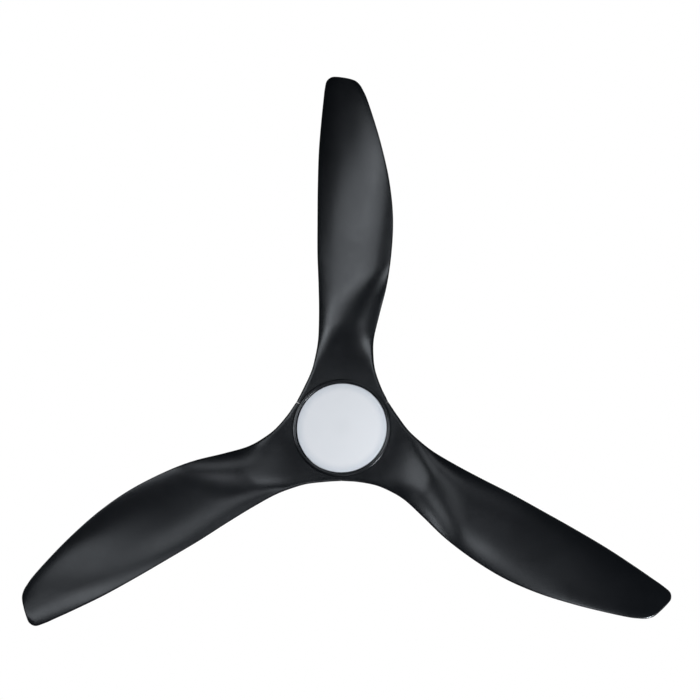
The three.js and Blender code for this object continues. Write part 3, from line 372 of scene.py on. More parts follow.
# %% [markdown]
# The diffuser is a thin sheet of opal acrylic, unlit here. It scatters the room's
# light back as a cool white. Its colour carries painted shade: a touch greyer at the
# rim, where it curves away, and a painted shadow of the driver in the middle. Both are
# soft darkenings painted by distance from the axis, laid over a very fine silk texture.

# %% The opal diffuser
OPAL_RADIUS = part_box("diffuser")[1].x

def opal_acrylic():
    made = Recipe("opal_diffuser", ior=1.49, coat_weight=0.25, coat_roughness=0.22)
    away = made.node(
        "ShaderNodeVectorMath", {"operation": "LENGTH"}, {0: made.stretched(1, 1, 0)}, output=1
    )
    share = away * (1 / OPAL_RADIUS)
    soft = {"interpolation_type": "SMOOTHSTEP"}
    # Painted shade: the rim mask greys the outer fifth of the diffuser, where it curves away.
    rim = made.node("ShaderNodeMapRange", soft, {0: share, 1: 0.8, 2: 1.0})
    # Painted shadow: the middle mask greys the middle third as if the driver's shadow showed through.
    middle = made.node("ShaderNodeMapRange", soft, {0: share, 1: 0.34, 2: 0.0})
    cloud = made.noise(14, 2)
    body = made.mix(cloud, (0.80, 0.785, 0.78), (0.83, 0.81, 0.80))
    shaded = made.mix(middle * 0.35 * cloud, body, (0.69, 0.69, 0.68))
    made.surface(base_color=made.mix(rim * 0.85, shaded, (0.63, 0.64, 0.66)))
    made.surface(roughness=spread(cloud, 0.4, 0.46))
    made.bump(made.noise(1400, 2), 0.000012, 0.5)
    return made.material


FINISHES["opal_diffuser"] = opal_acrylic()
print("finishes", len(FINISHES))

# %% [markdown]
# Each finished piece has to end as a plain closed mesh with outward faces. This
# helper joins doubled points, turns the faces out, shades the mesh smooth but for its
# true corners, sets the body it rides on and its finish, and hides the CAD nodes it
# stands for.

# %% Finishing a piece
CORNER = math.radians(38)
made_pieces = []

def finish_piece(name, mesh, body, slot, nodes, merge=0.00001):
    """Makes a mesh a finished piece of the fan."""
    shape = bmesh.new()
    shape.from_mesh(mesh)
    bmesh.ops.remove_doubles(shape, verts=shape.verts, dist=merge)
    bmesh.ops.dissolve_degenerate(shape, edges=shape.edges, dist=merge / 4)
    loose = [v for v in shape.verts if not v.link_faces]
    bmesh.ops.delete(shape, geom=loose, context="VERTS")
    bmesh.ops.recalc_face_normals(shape, faces=shape.faces)
    if shape.calc_volume(signed=True) < 0:
        bmesh.ops.reverse_faces(shape, faces=shape.faces)
    open_edges = sum(not e.is_manifold for e in shape.edges)
    shape.to_mesh(mesh)
    shape.free()
    mesh.materials.clear()
    mesh.materials.append(FINISHES[slot])
    for polygon in mesh.polygons:
        polygon.material_index = 0
        polygon.use_smooth = True
    mesh.set_sharp_from_angle(angle=CORNER)
    mesh.name = name
    piece = bpy.data.objects.new(name, mesh)
    bpy.context.collection.objects.link(piece)
    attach(piece, body)
    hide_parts(*nodes)
    made_pieces.append(name)
    print(name, len(mesh.polygons), "faces,", open_edges, "open edges")
    return piece

# %% [markdown]
# The three blades are the fan. Each is one moulding: a third of the hub's round cup,
# a narrow neck, a wide pitched blade and a tip whose end is cut aslant. Its outline
# is a smooth curve through a few stations along each edge, and between the outlines
# the skin follows rules for rise, thickness and the hub's cup. A subdivided cage could
# be pushed to the same shape by hand, but rules give the same fair surface each time
# and the exact size of the CAD blade.

# %% Blade sizes
REACH = 656.0
ROOT_PLATE = 8
ROOT_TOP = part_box("blade_1")[1].z / MM
ROOT_BOTTOM = ROOT_TOP - ROOT_PLATE
TRIM_STANDOUT = 3
RIM_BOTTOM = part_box("trim_ring")[0].z / MM + TRIM_STANDOUT
BLADE_LEVEL = RIM_BOTTOM + 1.5
HUB_RADIUS = 95.5
BORE_RADIUS = 46.0
TOUCH = 0.3
TRIM_WALL = 2.7
RECESS_GAP = 1.5
LIGHT_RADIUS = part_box("light_housing")[1].x / MM
RECESS_RADIUS = LIGHT_RADIUS + TOUCH + TRIM_WALL + RECESS_GAP
SEAM_GAP = 1.2
SEAM_ANGLE = math.pi / 3
NECK_ANGLES = [(60, 0), (52, 1.5), (44, 5.5)]
STATIONS = [
    (104, 56.5, 59), (128, 50.5, 55.5), (160, 45.5, 55.5), (205, 44.5, 65.5),
    (260, 46, 79.5), (320, 49, 87.5), (385, 50, 89.5), (450, 50.5, 82.5),
    (515, 49.5, 68), (570, 46, 52), (610, 42.5, 38.5),
]
LEADING_TIP = [(22, 40), (8, 36.3), (1.8, 27), (3, 14), (6, 3)]
TRAILING_TIP = [(34, -33), (23, -27), (14, -18.5), (9, -8), (6, 3)]
print("hub rim at", round(RIM_BOTTOM, 1), "mm, recess", round(RECESS_RADIUS, 1), "mm")

# %% The blade's outline
def smooth(low, high, x):
    share = np.clip((x - low) / (high - low), 0, 1)
    return share * share * (3 - 2 * share)


def blend(first, second, share):
    return first + (second - first) * share


def fair_curve(points, places):
    """Points on a centripetal Catmull-Rom curve, at places from 0 to 1."""
    p = np.array(points, dtype=float)
    p = np.vstack([2 * p[0] - p[1], p, 2 * p[-1] - p[-2]])
    found = []
    for place in places:
        along = place * (len(points) - 1)
        k = min(int(along), len(points) - 2)
        share = along - k
        p0, p1, p2, p3 = p[k : k + 4]
        d0, d1, d2 = (np.linalg.norm(b - a) ** 0.5 for a, b in ((p0, p1), (p1, p2), (p2, p3)))
        m1 = ((p1 - p0) / d0 - (p2 - p0) / (d0 + d1) + (p2 - p1) / d1) * d1
        m2 = ((p2 - p1) / d1 - (p3 - p1) / (d1 + d2) + (p3 - p2) / d2) * d1
        a, b = 2 * p1 - 2 * p2 + m1 + m2, -3 * p1 + 3 * p2 - 2 * m1 - m2
        found.append(((a * share + b) * share + m1) * share + p1)
    return np.array(found)


def edge_points(side):
    """Stations of one edge: side 1 is the leading edge, -1 the trailing edge."""
    neck = []
    for degrees, out in NECK_ANGLES:
        angle = math.radians(degrees)
        reach = HUB_RADIUS + out
        neck.append((side * reach * math.sin(angle), reach * math.cos(angle)))
    stations = [(lead if side > 0 else -trail, along) for along, lead, trail in STATIONS]
    tip = [(across, REACH - short) for short, across in (LEADING_TIP if side > 0 else TRAILING_TIP)]
    return neck + stations + tip


ROWS_PER_STATION = 7
stretches = len(edge_points(1)) - 1
row_places = np.linspace(0, 1, stretches * ROWS_PER_STATION + 1)
leading_edge = fair_curve(edge_points(1), row_places)
trailing_edge = fair_curve(edge_points(-1), row_places)
print("outline rows", len(row_places))

# %% [markdown]
# The skin is a grid with a top and a bottom. Rows near the axis are arcs of the hub,
# and rows beyond it run from edge to edge. Near any outer edge both skins close on the
# middle of the thickness along a quarter ellipse, which gives the soft, rounded edges
# of a moulding. At the seams between the blades the wall stays straight.

# %% The blade's skin
def blade_rise(across, along):
    """The blade's middle is flat over the hub, and pitched like a propeller beyond."""
    twist = smooth(120, 260, np.hypot(across, along) + 0.6 * across)
    pitch = np.radians(8 + 8 * smooth(REACH / 2, REACH - 20, along))
    return twist * np.tan(pitch) * (across - 35)


def distance_to(curve, places):
    """Shortest distance from each place to a polyline."""
    start, step = curve[:-1], np.diff(curve, axis=0)
    length = np.maximum((step**2).sum(1), 1e-9)
    best = np.full(len(places), 1e9)
    for a, d, l in zip(start, step, length):
        share = np.clip(((places - a) @ d) / l, 0, 1)
        gap = np.linalg.norm(places - a - share[:, None] * d, axis=1)
        best = np.minimum(best, gap)
    return best


def skin_levels(across, along, edge, gap, floor):
    """Top and bottom of the skin; gap is the distance to the outer edge."""
    reach = np.hypot(across, along)
    beyond = smooth(HUB_RADIUS, 2 * HUB_RADIUS, reach)
    full = blend(13.0, 8.0, smooth(200, REACH, reach))
    thinnest = blend(8.0, 3.0, beyond)
    thickness = thinnest + (full - thinnest) * edge
    middle = BLADE_LEVEL + blade_rise(across, along)
    hub_edge = HUB_RADIUS + 85 * np.maximum(0, 1 - np.abs(np.arctan2(across, along)) / SEAM_ANGLE) ** 2
    shoulder = smooth(0, HUB_RADIUS - RECESS_RADIUS, hub_edge - reach) * (1 - smooth(HUB_RADIUS, 160, reach))
    top = blend(middle + thickness / 2, ROOT_TOP, shoulder)
    bottom = blend(floor, middle - thickness / 2, beyond)
    nose = np.sqrt(1 - (1 - np.clip(gap / (thinnest * 0.55), 0, 1)) ** 2)
    return middle + (top - middle) * nose, middle + (bottom - middle) * nose


side_shares = [
    0, 0.0012, 0.004, 0.009, 0.017, 0.03, 0.05, 0.08, 0.12, 0.165, 0.21, 0.26, 0.31, 0.36, 0.41, 0.455,
]
shares = np.array(side_shares + [0.5] + [1 - s for s in reversed(side_shares)])
column_angles = np.arcsin((2 * shares - 1) * math.sin(SEAM_ANGLE))

RIM_ROUND = 1.2
ROOT_ROWS = [(r, ROOT_BOTTOM) for r in (BORE_RADIUS, 58, 70, 80, 87, RECESS_RADIUS - 0.05)]
for degrees in (0, 25, 50, 75, 90):
    turned = math.radians(degrees)
    ROOT_ROWS.append(
        (RECESS_RADIUS + RIM_ROUND * (1 - math.cos(turned)), RIM_BOTTOM + RIM_ROUND * (1 - math.sin(turned)))
    )
ROOT_ROWS += [(r, RIM_BOTTOM) for r in (89, 91, 92.6, 93.5, 94.3, 94.9, 95.3)]
print("columns", len(shares), "hub rows", len(ROOT_ROWS))

# %% Building one blade
def blade_grid():
    rows = []
    for radius, floor in ROOT_ROWS:
        inset = math.asin(SEAM_GAP / 2 / radius) / SEAM_ANGLE
        angle = column_angles * (1 - inset)
        rows.append((radius * np.sin(angle), radius * np.cos(angle), np.ones_like(angle), floor))
    for front, back, place in zip(leading_edge, trailing_edge, row_places):
        seam = SEAM_GAP / 2 / math.cos(SEAM_ANGLE / 2) * max(0, 1 - place * stretches * 2)
        fade = 1 - smooth(HUB_RADIUS / 2, 260, (front[1] + back[1]) / 2)
        bulge = HUB_RADIUS * (1 - math.cos(SEAM_ANGLE)) * fade
        crown = (np.cos(column_angles) - math.cos(SEAM_ANGLE)) / (1 - math.cos(SEAM_ANGLE))
        across = blend(back[0] + seam, front[0] - seam, shares)
        along = blend(back[1], front[1], shares) + bulge * crown
        rows.append((across, along, 1 - np.abs(2 * shares - 1) ** 3, RIM_BOTTOM))
    return rows


def blade_mesh():
    rows = blade_grid()
    across, along, edge = (np.array([row[k] for row in rows]) for k in range(3))
    floor = np.repeat(np.array([row[3] for row in rows])[:, None], len(shares), axis=1)
    flat = np.column_stack([across.ravel(), along.ravel()])
    gap = np.minimum(distance_to(leading_edge, flat), distance_to(trailing_edge, flat)).reshape(across.shape)
    top, bottom = skin_levels(across, along, edge, gap, floor)
    count, columns = across.size, len(shares)
    places = [place for level in (top, bottom) for place in zip(across.ravel(), along.ravel(), level.ravel())]
    faces = []
    for i in range(len(rows) - 1):
        for j in range(columns - 1):
            a = i * columns + j
            faces.append((a, a + 1, a + columns + 1, a + columns))
            faces.append(tuple(count + k for k in (a, a + columns, a + columns + 1, a + 1)))
        for a in (i * columns, i * columns + columns - 1):
            faces.append((a, count + a, count + a + columns, a + columns))
    for j in range(columns - 1):
        faces.append((j, j + 1, count + j + 1, count + j))
    mesh = bpy.data.meshes.new("blade")
    mesh.from_pydata([tuple(c * MM for c in p) for p in places], [], faces)
    return mesh


one_blade = blade_mesh()
for number in (1, 2, 3):
    turned_blade = one_blade.copy()
    turned_blade.transform(Matrix.Rotation(math.radians(120 * (number - 1)), 4, "Z"))
    finish_piece(f"fan_blade_{number}", turned_blade, "rotor", "black_plastic", [f"blade_{number}"], 0.00003)

# %% [markdown]
# Many of the fan's parts are turned shapes: the trim ring, the diffuser, the motor
# housing, the coupling cover, the canopy and the rod. Spin would do, but a geometry
# nodes tree keeps the rule in one place. It takes a profile drawn as edges and sweeps
# it round a tiny circle on the axis, so that a profile's X is the radius. Its corners
# are rounded first by this short function, as a mould's or a pressing's are.

# %% Profiles with rounded corners
def eased(corners, closed=True):
    """Rounds each (radius, level, rounding) corner of a profile with a small arc."""
    found = []
    count = len(corners)
    for k, (r, z, rounding) in enumerate(corners):
        here = Vector((r, z))
        inner = closed or 0 < k < count - 1
        if rounding <= 0 or not inner:
            found.append(here)
            continue
        before = Vector(corners[k - 1][:2]) - here
        after = Vector(corners[(k + 1) % count][:2]) - here
        bend = before.angle(after)
        reach = min(rounding / math.tan(bend / 2), 0.48 * before.length, 0.48 * after.length)
        start, end = here + before.normalized() * reach, here + after.normalized() * reach
        for step in range(5):
            share = step / 4
            found.append(start * (1 - share) ** 2 + here * 2 * share * (1 - share) + end * share**2)
    return found

# %% The turning tree
def geometry_tree(name, inputs):
    """An empty geometry nodes tree with named inputs; returns it with its ends."""
    tree = bpy.data.node_groups.new(name, "GeometryNodeTree")
    tree.interface.new_socket(name="Geometry", in_out="INPUT", socket_type="NodeSocketGeometry")
    keys = {}
    for label, kind in inputs.items():
        socket = tree.interface.new_socket(name=label, in_out="INPUT", socket_type="NodeSocket" + kind)
        keys[label] = socket.identifier
    tree.interface.new_socket(name="Mesh", in_out="OUTPUT", socket_type="NodeSocketGeometry")
    return tree, add_node(tree, "NodeGroupInput").outputs, keys


def end_tree(tree, geometry, source):
    """Realizes the instances, sets the material and joins the tree's output."""
    real = add_node(tree, "GeometryNodeRealizeInstances", None, {0: geometry})
    inputs = {0: real.outputs[0], "Material": source["Material"]}
    dressed = add_node(tree, "GeometryNodeSetMaterial", None, inputs)
    add_node(tree, "NodeGroupOutput", None, {0: dressed.outputs[0]})


def grown_mesh(start, tree, keys, values):
    """Runs a tree on a starting mesh and returns the plain mesh that it makes."""
    carrier = bpy.data.objects.new("carrier", start)
    bpy.context.collection.objects.link(carrier)
    modifier = carrier.modifiers.new("grow", "NODES")
    modifier.node_group = tree
    for label, value in values.items():
        modifier[keys[label]] = value
    ready = carrier.evaluated_get(bpy.context.evaluated_depsgraph_get())
    mesh = bpy.data.meshes.new_from_object(ready)
    carrier.modifiers.remove(modifier)
    bpy.data.objects.remove(carrier)
    return mesh


turning, source, turning_keys = geometry_tree(
    "turned_shape", {"Steps": "Int", "Axis circle": "Float", "Material": "Material"}
)
profile = add_node(turning, "GeometryNodeMeshToCurve", None, {0: source["Geometry"]})
circle = add_node(
    turning, "GeometryNodeCurvePrimitiveCircle", None,
    {"Resolution": source["Steps"], "Radius": source["Axis circle"]},
)
swept = add_node(turning, "GeometryNodeCurveToMesh", None, {0: circle.outputs[0], 1: profile.outputs[0]})
end_tree(turning, swept.outputs[0], source)


def turned(name, corners, body, slot, nodes, steps=128, closed=True):
    """A finished piece turned from a profile of (radius, level, rounding) in mm."""
    points = eased(corners, closed)
    edges = [(k, k + 1) for k in range(len(points) - 1)]
    if closed:
        edges.append((len(points) - 1, 0))
    drawn = bpy.data.meshes.new(name + "_profile")
    drawn.from_pydata([(p.x * MM, -p.y * MM, 0) for p in points], edges, [])
    values = {"Steps": steps, "Axis circle": 1e-7, "Material": FINISHES[slot]}
    mesh = grown_mesh(drawn, turning, turning_keys, values)
    return finish_piece(name, mesh, body, slot, nodes, 0.000002)

# %% [markdown]
# The trim ring is the thin black collar round the light. It stands a few millimetres
# below the hub, and its rounded lip catches a thin highlight. The opal diffuser sits
# just inside it: a shallow dome with a flange and a skirt, whose three lugs turn into
# the light housing like a bayonet cap.

# %% Trim ring and diffuser
def levels(node):
    """Lowest and highest level and outer radius of a round CAD node, in mm."""
    low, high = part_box(node)
    return low.z / MM, high.z / MM, high.x / MM


trim_low, trim_high, trim_out = levels("trim_ring")
pan_low, _, pan_out = levels("light_housing")
opal_low, opal_high, opal_out = levels("diffuser")
OPAL_CLEARANCE = 0.8
lip_in = opal_out + OPAL_CLEARANCE
sleeve_in = pan_out + TOUCH
sleeve_out = sleeve_in + TRIM_WALL
LIP = 2.0
turned("light_trim_ring", [
    (sleeve_out, trim_high, 0.3),
    (sleeve_out, trim_low + LIP, 0.3),
    (trim_out, trim_low + LIP, 0.4),
    (trim_out, trim_low + 1.2, 0.6),
    (trim_out - 1.4, trim_low + 0.35, 1.2),
    (blend(lip_in, trim_out, 0.5), trim_low, 2.0),
    (lip_in + 1.4, trim_low + 0.35, 1.0),
    (lip_in, trim_low + 1.6, 0.6),
    (lip_in, pan_low - TOUCH, 0.2),
    (sleeve_in, pan_low - TOUCH, 0.2),
    (sleeve_in, trim_high, 0.3),
], "hanging_frame", "black_plastic", ["trim_ring"])

OPAL_DOME = 3
OPAL_WALL = 2
PAN_WALL = 2
SKIRT_CLEARANCE = 1.6
flange = opal_low + OPAL_DOME
skirt = pan_out - PAN_WALL - SKIRT_CLEARANCE
dome = [(opal_out * s, flange - OPAL_DOME * (1 - s * s), 0) for s in np.linspace(0, 0.985, 16)]
inner_dome = [
    ((skirt - OPAL_WALL) * s, flange + OPAL_WALL - OPAL_DOME * (1 - s * s), 0) for s in np.linspace(1, 0, 12)
]
opal_profile = dome + [
    (opal_out, flange, 0.5),
    (opal_out, pan_low - TOUCH, 0.3),
    (skirt, pan_low - TOUCH, 0.2),
    (skirt, opal_high, 0.4),
    (skirt - OPAL_WALL, opal_high, 0.4),
] + inner_dome
turned("opal_diffuser", opal_profile, "diffuser", "opal_diffuser", ["diffuser"], closed=False)

# %% [markdown]
# Above the hub sit the parts that only a look from the side or from above shows. The
# motor's rotor is a low drum in two halves with a fine split line and shallow cooling
# ribs drawn in its wall. The coupling cover is a bell that hides the joint between rod
# and motor, and the canopy is a pressed cup that hides the bracket at the ceiling.

# %% Motor housing
top_low, top_high, drum_out = levels("rotor_housing_top")
base_low, base_high, _ = levels("rotor_housing_bottom")
SHAFT_HOLE = 13.4
BOSS_IN, BOSS_OUT = 20.3, 24.3
BOSS_DEPTH = 14.8
DRUM_WALL, DRUM_PLATE = 6, 2.5
RIB_DEPTH = 0.5
RIB_PITCH = 3.6

def drum_half(plate, split, into):
    """Profile of half the drum; into is -1 for the top half and 1 for the bottom."""
    wall = []
    level = plate + into * 5.5
    while abs(level - split) > RIB_PITCH:
        wall += [(drum_out, level, 0.3), (drum_out - RIB_DEPTH, level + into * 0.5, 0.2)]
        wall += [(drum_out - RIB_DEPTH, level + into * 1.1, 0.2), (drum_out, level + into * 1.6, 0.3)]
        level += into * RIB_PITCH
    plate_steps = [
        (SHAFT_HOLE, plate, 0.3),
        (30, plate, 0.4),
        (31, plate + into * 0.6, 0.4),
        (drum_out - 15, plate + into * 0.6, 0.4),
        (drum_out - 14, plate, 0.4),
        (drum_out, plate, 3.0),
    ]
    return plate_steps + wall + [
        (drum_out, split, 0.5),
        (drum_out - DRUM_WALL, split, 0.3),
        (drum_out - DRUM_WALL, plate + into * DRUM_PLATE, 1.0),
        (BOSS_OUT, plate + into * DRUM_PLATE, 1.0),
        (BOSS_OUT, plate + into * BOSS_DEPTH, 0.4),
        (BOSS_IN, plate + into * BOSS_DEPTH, 0.4),
        (BOSS_IN, plate + into * DRUM_PLATE, 0.2),
        (SHAFT_HOLE, plate + into * DRUM_PLATE, 0.2),
    ]


drum_top, drum_bottom = drum_half(top_high, top_low, -1), drum_half(base_low, base_high, 1)
turned("motor_drum_top", drum_top, "rotor", "black_paint", ["rotor_housing_top"])
turned("motor_drum_bottom", drum_bottom, "rotor", "black_paint", ["rotor_housing_bottom"])

# %% Coupling cover, grommet and canopy
cover_low, cover_high, _ = levels("coupling_cover")
COVER_WALL = 2
COVER_OUT = 50.0
CLIP_ROOM = 20.1
GROMMET_WALL = 2.4
rod_out = levels("downrod")[2]
cover_hole = rod_out + TOUCH + GROMMET_WALL
cover_top_out = rod_out + CLIP_ROOM

def bell_side(inset, steps=22):
    """Side of the bell from its shoulder down to its open mouth."""
    points = []
    for share in np.linspace(0, 1, steps):
        flare = 1 - math.cos(math.pi / 2 * share)
        low = cover_high - inset
        radius = cover_top_out - inset * 0.5 + (COVER_OUT - cover_top_out - inset * 0.5) * flare
        points.append((radius, low + (cover_low - low) * math.sin(math.pi / 2 * share), 0))
    return points


outside, inside = bell_side(0), bell_side(COVER_WALL)[::-1]
outside[0] = (*outside[0][:2], 1.6)
outside[-1] = (*outside[-1][:2], 0.5)
turned(
    "coupling_bell",
    [(cover_hole, cover_high, 0.5)] + outside + inside + [(cover_hole, cover_high - COVER_WALL, 0.3)],
    "hanging_frame", "black_plastic", ["coupling_cover"],
)

groove = cover_hole - TOUCH
turned("rod_grommet", [
    (rod_out + TOUCH, cover_high - 4, 0.3),
    (groove + 1.6, cover_high - 4, 0.6),
    (groove + 1.6, cover_high - 2.3, 0.3),
    (groove, cover_high - 2.3, 0.1),
    (groove, cover_high + 0.3, 0.1),
    (groove + 1.6, cover_high + 0.3, 0.5),
    (groove + 1.0, cover_high + 2, 0.7),
    (rod_out + TOUCH, cover_high + 2, 0.3),
], "hanging_frame", "rubber", ["cover_grommet"], steps=64)

canopy_low, canopy_high, canopy_out = levels("canopy")
CANOPY_MOUTH = 29.0
CANOPY_WALL = 2
canopy_shoulder = canopy_low + (canopy_high - canopy_low) * 0.45

def cup_side(inset, steps=20):
    """Rounded bottom of the canopy, from its mouth to its straight wall."""
    points = []
    for angle in np.linspace(0, math.pi / 2, steps):
        radius = CANOPY_MOUTH + (canopy_out - inset - CANOPY_MOUTH) * math.sin(angle)
        points.append((radius, canopy_shoulder - (canopy_shoulder - canopy_low - inset) * math.cos(angle), 0))
    return points


cup_outside = cup_side(0) + [(canopy_out, canopy_high, 0.6)]
cup_inside = [(canopy_out - CANOPY_WALL, canopy_high, 0.6)] + cup_side(CANOPY_WALL)[::-1]
cup_outside[0] = (*cup_outside[0][:2], 0.8)
cup_inside[-1] = (*cup_inside[-1][:2], 0.8)
turned("ceiling_canopy", cup_outside + cup_inside, "ceiling_fitting", "black_paint", ["canopy"])

# %% [markdown]
# Screws repeat, so a second tree makes them all: a domed head cut with a cross, on a
# plain shank. It stands one on each point of a small mesh and turns it to the point's
# own direction, which is stored as an attribute. The screws of one kind on one body
# become one piece.

# %% The screw tree
screw_tree, source, screw_keys = geometry_tree("cross_screws", {
    "Head radius": "Float", "Head height": "Float", "Shank radius": "Float", "Shank length": "Float",
    "Material": "Material",
})

def scaled_by(x, y, z):
    """A vector in the screw tree from three numbers or sockets."""
    return add_node(screw_tree, "ShaderNodeCombineXYZ", None, {0: x, 1: y, 2: z}).outputs[0]


def times(first, second):
    return add_node(screw_tree, "ShaderNodeMath", {"operation": "MULTIPLY"}, {0: first, 1: second}).outputs[0]


def cube(x, y, z, lift):
    """A box whose middle is lifted along the screw's axis."""
    made = add_node(screw_tree, "GeometryNodeMeshCube", None, {"Size": scaled_by(x, y, z)})
    moved = add_node(
        screw_tree, "GeometryNodeTransform", None,
        {"Geometry": made.outputs[0], "Translation": scaled_by(0.0, 0.0, lift)},
    )
    return moved.outputs[0]


head_radius, head_height = source["Head radius"], source["Head height"]
ball = add_node(screw_tree, "GeometryNodeMeshUVSphere", None, {"Segments": 28, "Rings": 14, "Radius": 1.0})
dome_shape = add_node(
    screw_tree, "GeometryNodeTransform", None,
    {"Geometry": ball.outputs[0], "Scale": scaled_by(head_radius, head_radius, head_height)},
)
wide = times(head_radius, 4.0)
upper = cube(wide, wide, wide, times(head_radius, 2.0))
slot_width, slot_length = times(head_radius, 0.26), times(head_radius, 1.15)
slot_depth = times(head_height, 1.1)
cut_one = cube(slot_length, slot_width, slot_depth, head_height)
cut_two = cube(slot_width, slot_length, slot_depth, head_height)
shank_length = source["Shank length"]
shank = add_node(
    screw_tree, "GeometryNodeMeshCylinder", None,
    {"Vertices": 20, "Radius": source["Shank radius"], "Depth": shank_length},
)
shank_moved = add_node(
    screw_tree, "GeometryNodeTransform", None,
    {"Geometry": shank.outputs["Mesh"], "Translation": scaled_by(0.0, 0.0, times(shank_length, -0.495))},
)

def solid_sum(how, *meshes):
    """A boolean of solids: the first is kept or cut in a difference."""
    made = add_node(screw_tree, "GeometryNodeMeshBoolean", {"operation": how, "solver": "MANIFOLD"})
    first = made.inputs[0] if how == "DIFFERENCE" else made.inputs[1]
    screw_tree.links.new(meshes[0], first)
    for mesh in meshes[1:]:
        screw_tree.links.new(mesh, made.inputs[1])
    return made.outputs[0]


head = solid_sum("INTERSECT", dome_shape.outputs[0], upper)
crossed = solid_sum("DIFFERENCE", head, cut_one, cut_two)
whole_screw = solid_sum("UNION", crossed, shank_moved.outputs[0])
facing = add_node(
    screw_tree, "GeometryNodeInputNamedAttribute", {"data_type": "FLOAT_VECTOR"}, {"Name": "facing"}
)
turn_to = add_node(
    screw_tree, "FunctionNodeAlignRotationToVector", {"axis": "Z"}, {"Vector": facing.outputs[0]}
)
stood = add_node(
    screw_tree, "GeometryNodeInstanceOnPoints", None,
    {"Points": source["Geometry"], "Instance": whole_screw, "Rotation": turn_to.outputs[0]},
)
end_tree(screw_tree, stood.outputs[0], source)
print("screw tree nodes", len(screw_tree.nodes))

# %% Placing the screws
def screws(name, nodes, facing_way, sizes, body, slot):
    """Screws in place of CAD nodes, all facing one way or each away from the axis."""
    radius, height, shank_radius, length = sizes
    seats, ways = [], []
    for node in nodes:
        low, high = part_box(node)
        middle = (low + high) / 2
        way = Vector(facing_way) if facing_way else Vector((middle.x, middle.y, 0)).normalized()
        half = abs((high - low).dot(way)) / 2
        seats.append(middle + way * (half - height * MM))
        ways.append(way)
    points = bpy.data.meshes.new(name + "_points")
    points.from_pydata([tuple(p) for p in seats], [], [])
    stored = points.attributes.new("facing", "FLOAT_VECTOR", "POINT")
    for index, way in enumerate(ways):
        stored.data[index].vector = way
    values = {
        "Head radius": radius * MM, "Head height": height * MM, "Shank radius": shank_radius * MM,
        "Shank length": length * MM, "Material": FINISHES[slot],
    }
    mesh = grown_mesh(points, screw_tree, screw_keys, values)
    return finish_piece(name, mesh, body, slot, nodes, 0.000001)


DOWN, UPWARD = (0, 0, -1), (0, 0, 1)
canopy_pair = ["canopy_screw_1", "canopy_screw_2"]
motor_three = [f"housing_screw_{k}" for k in (1, 2, 3)]
blade_six = [f"blade_screw_{k}" for k in range(1, 7)]
pan_three = [f"light_screw_{k}" for k in (1, 2, 3)]
screws("canopy_screws", canopy_pair, None, (3.6, 2.2, 2, 12), "ceiling_fitting", "black_paint")
screws("motor_screws", motor_three, UPWARD, (3.2, 2, 1.8, 40), "rotor", "zinc_steel")
screws("blade_screws", blade_six, DOWN, (4.6, 3.4, 2.4, 14), "rotor", "zinc_steel")
screws("pan_screws", pan_three, DOWN, (3.6, 2.2, 1.8, 6), "hanging_frame", "zinc_steel")

# %% [markdown]
# The other parts keep their CAD shape, which is right, but pressed and cast parts have
# no knife edges. A copy of each gets its doubled points joined, its flat faces made
# whole and its corners bevelled by a fraction of a millimetre.

# %% Parts with eased edges
def eased_copy(name, node, body, slot, width):
    """A copy of a CAD node with small bevels in place of its sharp corners."""
    mesh = frame["nodes"][node].data.copy()
    shape = bmesh.new()
    shape.from_mesh(mesh)
    bmesh.ops.remove_doubles(shape, verts=shape.verts, dist=0.000005)
    bmesh.ops.dissolve_limit(shape, angle_limit=math.radians(1), verts=shape.verts, edges=shape.edges)
    sharp = [e for e in shape.edges if len(e.link_faces) == 2 and e.calc_face_angle(0) > math.radians(40)]
    bmesh.ops.bevel(shape, geom=sharp, offset=width * MM, segments=2, affect="EDGES", clamp_overlap=True)
    shape.to_mesh(mesh)
    shape.free()
    return finish_piece(name, mesh, body, slot, [node], 0.000001)


eased_copy("ceiling_bracket", "hanging_bracket", "ceiling_fitting", "zinc_steel", 0.4)
eased_copy("receiver_box", "receiver_module", "ceiling_fitting", "grey_nylon", 0.9)
eased_copy("shaft_joint", "shaft_coupling", "hanging_frame", "cast_alloy", 0.4)
eased_copy("driver_box", "led_driver", "hanging_frame", "white_plastic", 0.8)
print("pieces made", len(made_pieces))

# %% [markdown]
# Every CAD node that still shows gets the procedural finish of its own slot. The
# record names the slot of each node, so nothing here has to repeat that list.

# %% Finishes on the CAD nodes
slots_of = {part["node"]: part["material_slot"] for part in frame["record"]["subparts"]}
for node, item in frame["nodes"].items():
    finish = FINISHES[slots_of[node]]
    for place in item.material_slots:
        place.material = finish
print("CAD nodes dressed", len(slots_of))

# %% [markdown]
# The studio is plain: a pale floor a little below the camera and a pale room. The
# room is bright where the camera sees it, brighter overhead than below, and a few
# large soft lamps under the fan draw the long highlights on its satin blades. Their
# places suit the view from below, so other low views see darker blades.

# %% The studio
FLOOR_LEVEL = -6.0
floor_mesh = bpy.data.meshes.new("studio_floor")
FLOOR_HALF = 60.0
floor_mesh.from_pydata(
    [(-FLOOR_HALF, -FLOOR_HALF, FLOOR_LEVEL), (FLOOR_HALF, -FLOOR_HALF, FLOOR_LEVEL),
     (FLOOR_HALF, FLOOR_HALF, FLOOR_LEVEL), (-FLOOR_HALF, FLOOR_HALF, FLOOR_LEVEL)],
    [], [(0, 1, 2, 3)],
)
floor_finish = Recipe("pale_floor", base_color=(0.9, 0.9, 0.9), roughness=0.9)
floor_mottle = floor_finish.noise(3, 4)
floor_finish.surface(base_color=floor_finish.mix(floor_mottle, (0.86, 0.86, 0.87), (0.92, 0.92, 0.92)))
floor_finish.surface(emission_color=(1.0, 1.0, 1.0), emission_strength=0.35)
floor_mesh.materials.append(floor_finish.material)
floor = bpy.data.objects.new("studio_floor", floor_mesh)
bpy.context.collection.objects.link(floor)
floor.visible_glossy = False
floor.visible_diffuse = False

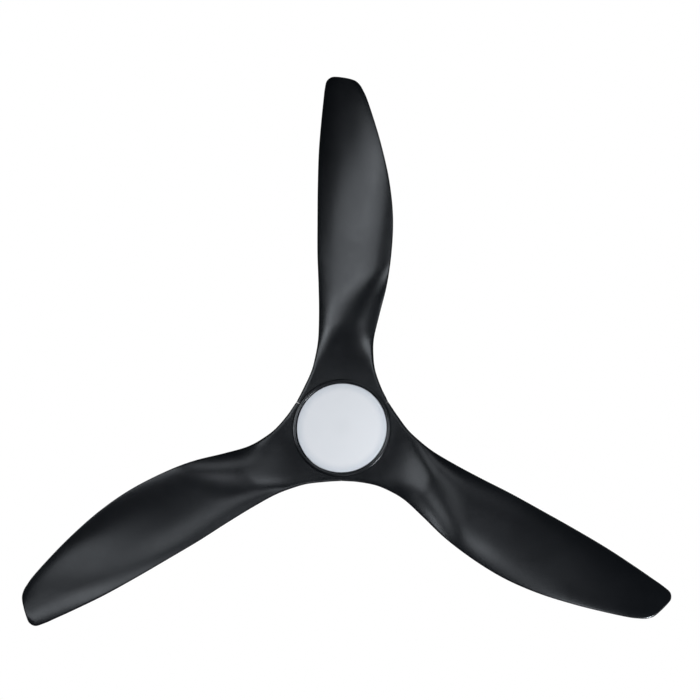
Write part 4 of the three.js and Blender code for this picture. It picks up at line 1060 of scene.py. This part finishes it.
world = bpy.data.worlds.new("studio_room")
world.use_nodes = True
bpy.context.scene.world = world
room = world.node_tree
room.nodes.clear()
toward = add_node(room, "ShaderNodeTexCoord").outputs["Generated"]
height = add_node(room, "ShaderNodeSeparateXYZ", None, {0: toward}).outputs["Z"]
overhead = add_node(room, "ShaderNodeMapRange", {"interpolation_type": "SMOOTHSTEP"}, {
    0: height, 1: 0.0, 2: 0.6, 3: 0.0, 4: 0.9,
}).outputs[0]
seen = add_node(room, "ShaderNodeLightPath").outputs["Is Camera Ray"]
strength = add_node(room, "ShaderNodeMix", {"data_type": "FLOAT"}, {0: seen, 2: overhead, 3: 1.0}).outputs[0]
glow = add_node(room, "ShaderNodeBackground", None, {"Color": (1, 1, 1, 1), "Strength": strength}).outputs[0]
add_node(room, "ShaderNodeOutputWorld", None, {"Surface": glow})
bpy.context.scene.view_settings.view_transform = "Standard"

# %% The lamps
# Each lamp: its name, how far across and up the room its direction leans, its radiance.
LAMPS = [
    ("lamp_grazing", -0.52, -0.39, 99.6),
    ("lamp_left", 0.52, 0.13, 7.3),
    ("lamp_left_high", 0.39, 0.26, 2.0),
    ("lamp_left_mid", 0.26, 0.26, 2.3),
    ("lamp_right_mid", -0.13, 0.13, 3.8),
    ("lamp_low", 0.0, -0.52, 2.8),
    ("lamp_low_mid", 0.0, -0.26, 1.7),
    ("lamp_high_mid", 0.0, 0.39, 1.2),
    ("lamp_high", -0.13, 0.52, 1.0),
]
FAN_MIDDLE = Vector((0, 0, -0.23))
LAMP_WIDTH = 1.0
LAMP_DISTANCE = 5.0
LAMP_COLOUR = (0.91, 0.97, 1.04)
for name, across, up, radiance in LAMPS:
    lamp_data = bpy.data.lights.new(name, "AREA")
    lamp_data.shape = "DISK"
    lamp_data.size = LAMP_WIDTH
    lamp_data.energy = radiance * math.pi * math.pi * (LAMP_WIDTH / 2) ** 2
    lamp_data.color = LAMP_COLOUR
    lamp = bpy.data.objects.new(name, lamp_data)
    way = Vector((across, up, -math.sqrt(1 - across ** 2 - up ** 2)))
    place = FAN_MIDDLE + way * LAMP_DISTANCE
    aim = (FAN_MIDDLE - place).to_track_quat("-Z", "Y").to_matrix().to_4x4()
    lamp.matrix_world = Matrix.Translation(place) @ aim
    lamp.visible_camera = False
    bpy.context.collection.objects.link(lamp)
print("lamps", len(LAMPS))

# %% [markdown]
# The last cell brings the scene up to date and prints how many pieces and finishes
# there are.

# %% The end
bpy.context.view_layer.update()
print("pieces", len(made_pieces), "finishes", len(FINISHES))
